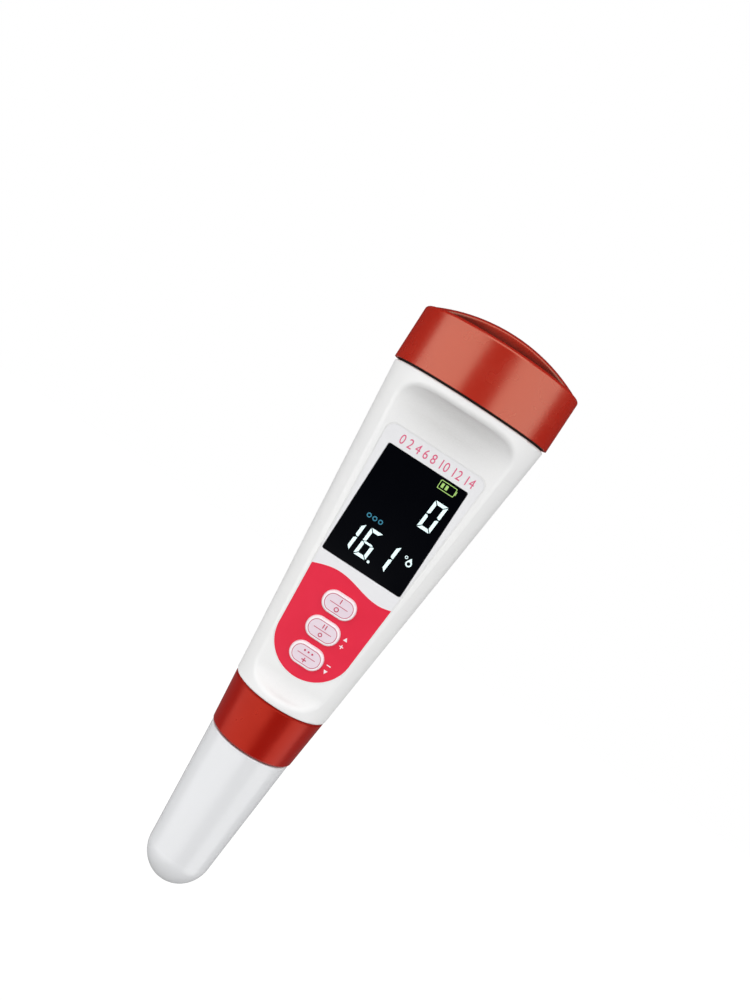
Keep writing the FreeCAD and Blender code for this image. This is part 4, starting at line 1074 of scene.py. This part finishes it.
def foam_mesh(name, profile, depth, scale):
    """Turns a profile of radius and height, from pole to pole, and gives it an uneven skin."""
    work = bmesh.new()
    rings = []
    for radius, height in profile[1:-1]:
        ring = []
        for k in range(FOAM_TURNS):
            turn = 2 * math.pi * k / FOAM_TURNS
            ring.append(work.verts.new((radius * math.cos(turn), radius * math.sin(turn), height)))
        rings.append(ring)
    low = work.verts.new((0, 0, profile[0][1]))
    high = work.verts.new((0, 0, profile[-1][1]))
    for k in range(FOAM_TURNS):
        after = (k + 1) % FOAM_TURNS
        work.faces.new((low, rings[0][after], rings[0][k]))
        work.faces.new((high, rings[-1][k], rings[-1][after]))
        for lower, upper in zip(rings, rings[1:]):
            work.faces.new((lower[k], lower[after], upper[after], upper[k]))
    middle = Vector((0, 0, (profile[0][1] + profile[-1][1]) / 2))
    for vertex in work.verts:
        dent = depth * (0.5 + 0.5 * noise.noise(vertex.co * scale))
        vertex.co += (middle - vertex.co).normalized() * dent
    bmesh.ops.recalc_face_normals(work, faces=work.faces)
    mesh = bpy.data.meshes.new(name)
    work.to_mesh(mesh)
    work.free()
    mesh.shade_smooth()
    return mesh


def even_profile(corners, step):
    """Points along a line of corners, no further apart than the step."""
    points = [corners[0]]
    for (r0, z0), (r1, z1) in zip(corners, corners[1:]):
        count = max(1, math.ceil(math.hypot(r1 - r0, z1 - z0) / step))
        for k in range(1, count + 1):
            points.append((r0 + (r1 - r0) * k / count, z0 + (z1 - z0) * k / count))
    return points


print("faces round a piece of foam:", FOAM_TURNS)

# %% The sponge
SPONGE_EDGE, SPONGE_STEP = 0.6 * MM, 0.4 * MM
SPONGE_DENT, SPONGE_DENTS_PER_METRE = 0.25 * MM, 900
BALL_STEPS, EDGE_STEPS = 24, 6


def sponge_profile(low, high, ball, corner):
    """A ball's lower part, cut off level at the top, with a round upper edge."""
    edge = math.sqrt(ball ** 2 - (high - low - ball) ** 2)
    side_top = high - corner
    span = math.acos(1 - (side_top - low) / ball)
    slopes = [span * k / BALL_STEPS for k in range(BALL_STEPS + 1)]
    side = [(ball * math.sin(slope), low + ball - ball * math.cos(slope)) for slope in slopes]
    turns = [math.radians(90 * k / EDGE_STEPS) for k in range(1, EDGE_STEPS + 1)]
    rim = [(edge - corner + corner * math.cos(turn), side_top + corner * math.sin(turn))
           for turn in turns]
    return side + rim + [(0, high)]


sponge_low, sponge_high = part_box("storage_sponge")
sponge_corners = sponge_profile(sponge_low[2], sponge_high[2], sponge_high[0], SPONGE_EDGE)
sponge_line = even_profile(sponge_corners, SPONGE_STEP)
sponge_mesh = foam_mesh("wet_sponge", sponge_line, SPONGE_DENT, SPONGE_DENTS_PER_METRE)
wet_sponge = finish_piece("wet_sponge", sponge_mesh, FINISHES["sponge"], "protective_cap")
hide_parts("storage_sponge")
print("sponge faces:", len(sponge_mesh.polygons))

# %% The pad
PAD_EDGE, PAD_STEP = 0.4 * MM, 0.6 * MM
PAD_DENT, PAD_DENTS_PER_METRE = 0.08 * MM, 700

pad_low, pad_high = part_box("cell_pad")
radius, low, high = pad_high[0], pad_low[2], pad_high[2]
pad_corners = [(0, low), (radius - PAD_EDGE, low), (radius, low + PAD_EDGE),
               (radius, high - PAD_EDGE), (radius - PAD_EDGE, high), (0, high)]
pad_line = even_profile(pad_corners, PAD_STEP)
pad_mesh = foam_mesh("foam_pad", pad_line, PAD_DENT, PAD_DENTS_PER_METRE)
pad_slot = slot_of["cell_pad"]
foam_pad = finish_piece("foam_pad", pad_mesh, FINISHES[pad_slot], "cap_carrier")
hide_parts("cell_pad")
print("pad faces:", len(pad_mesh.polygons))
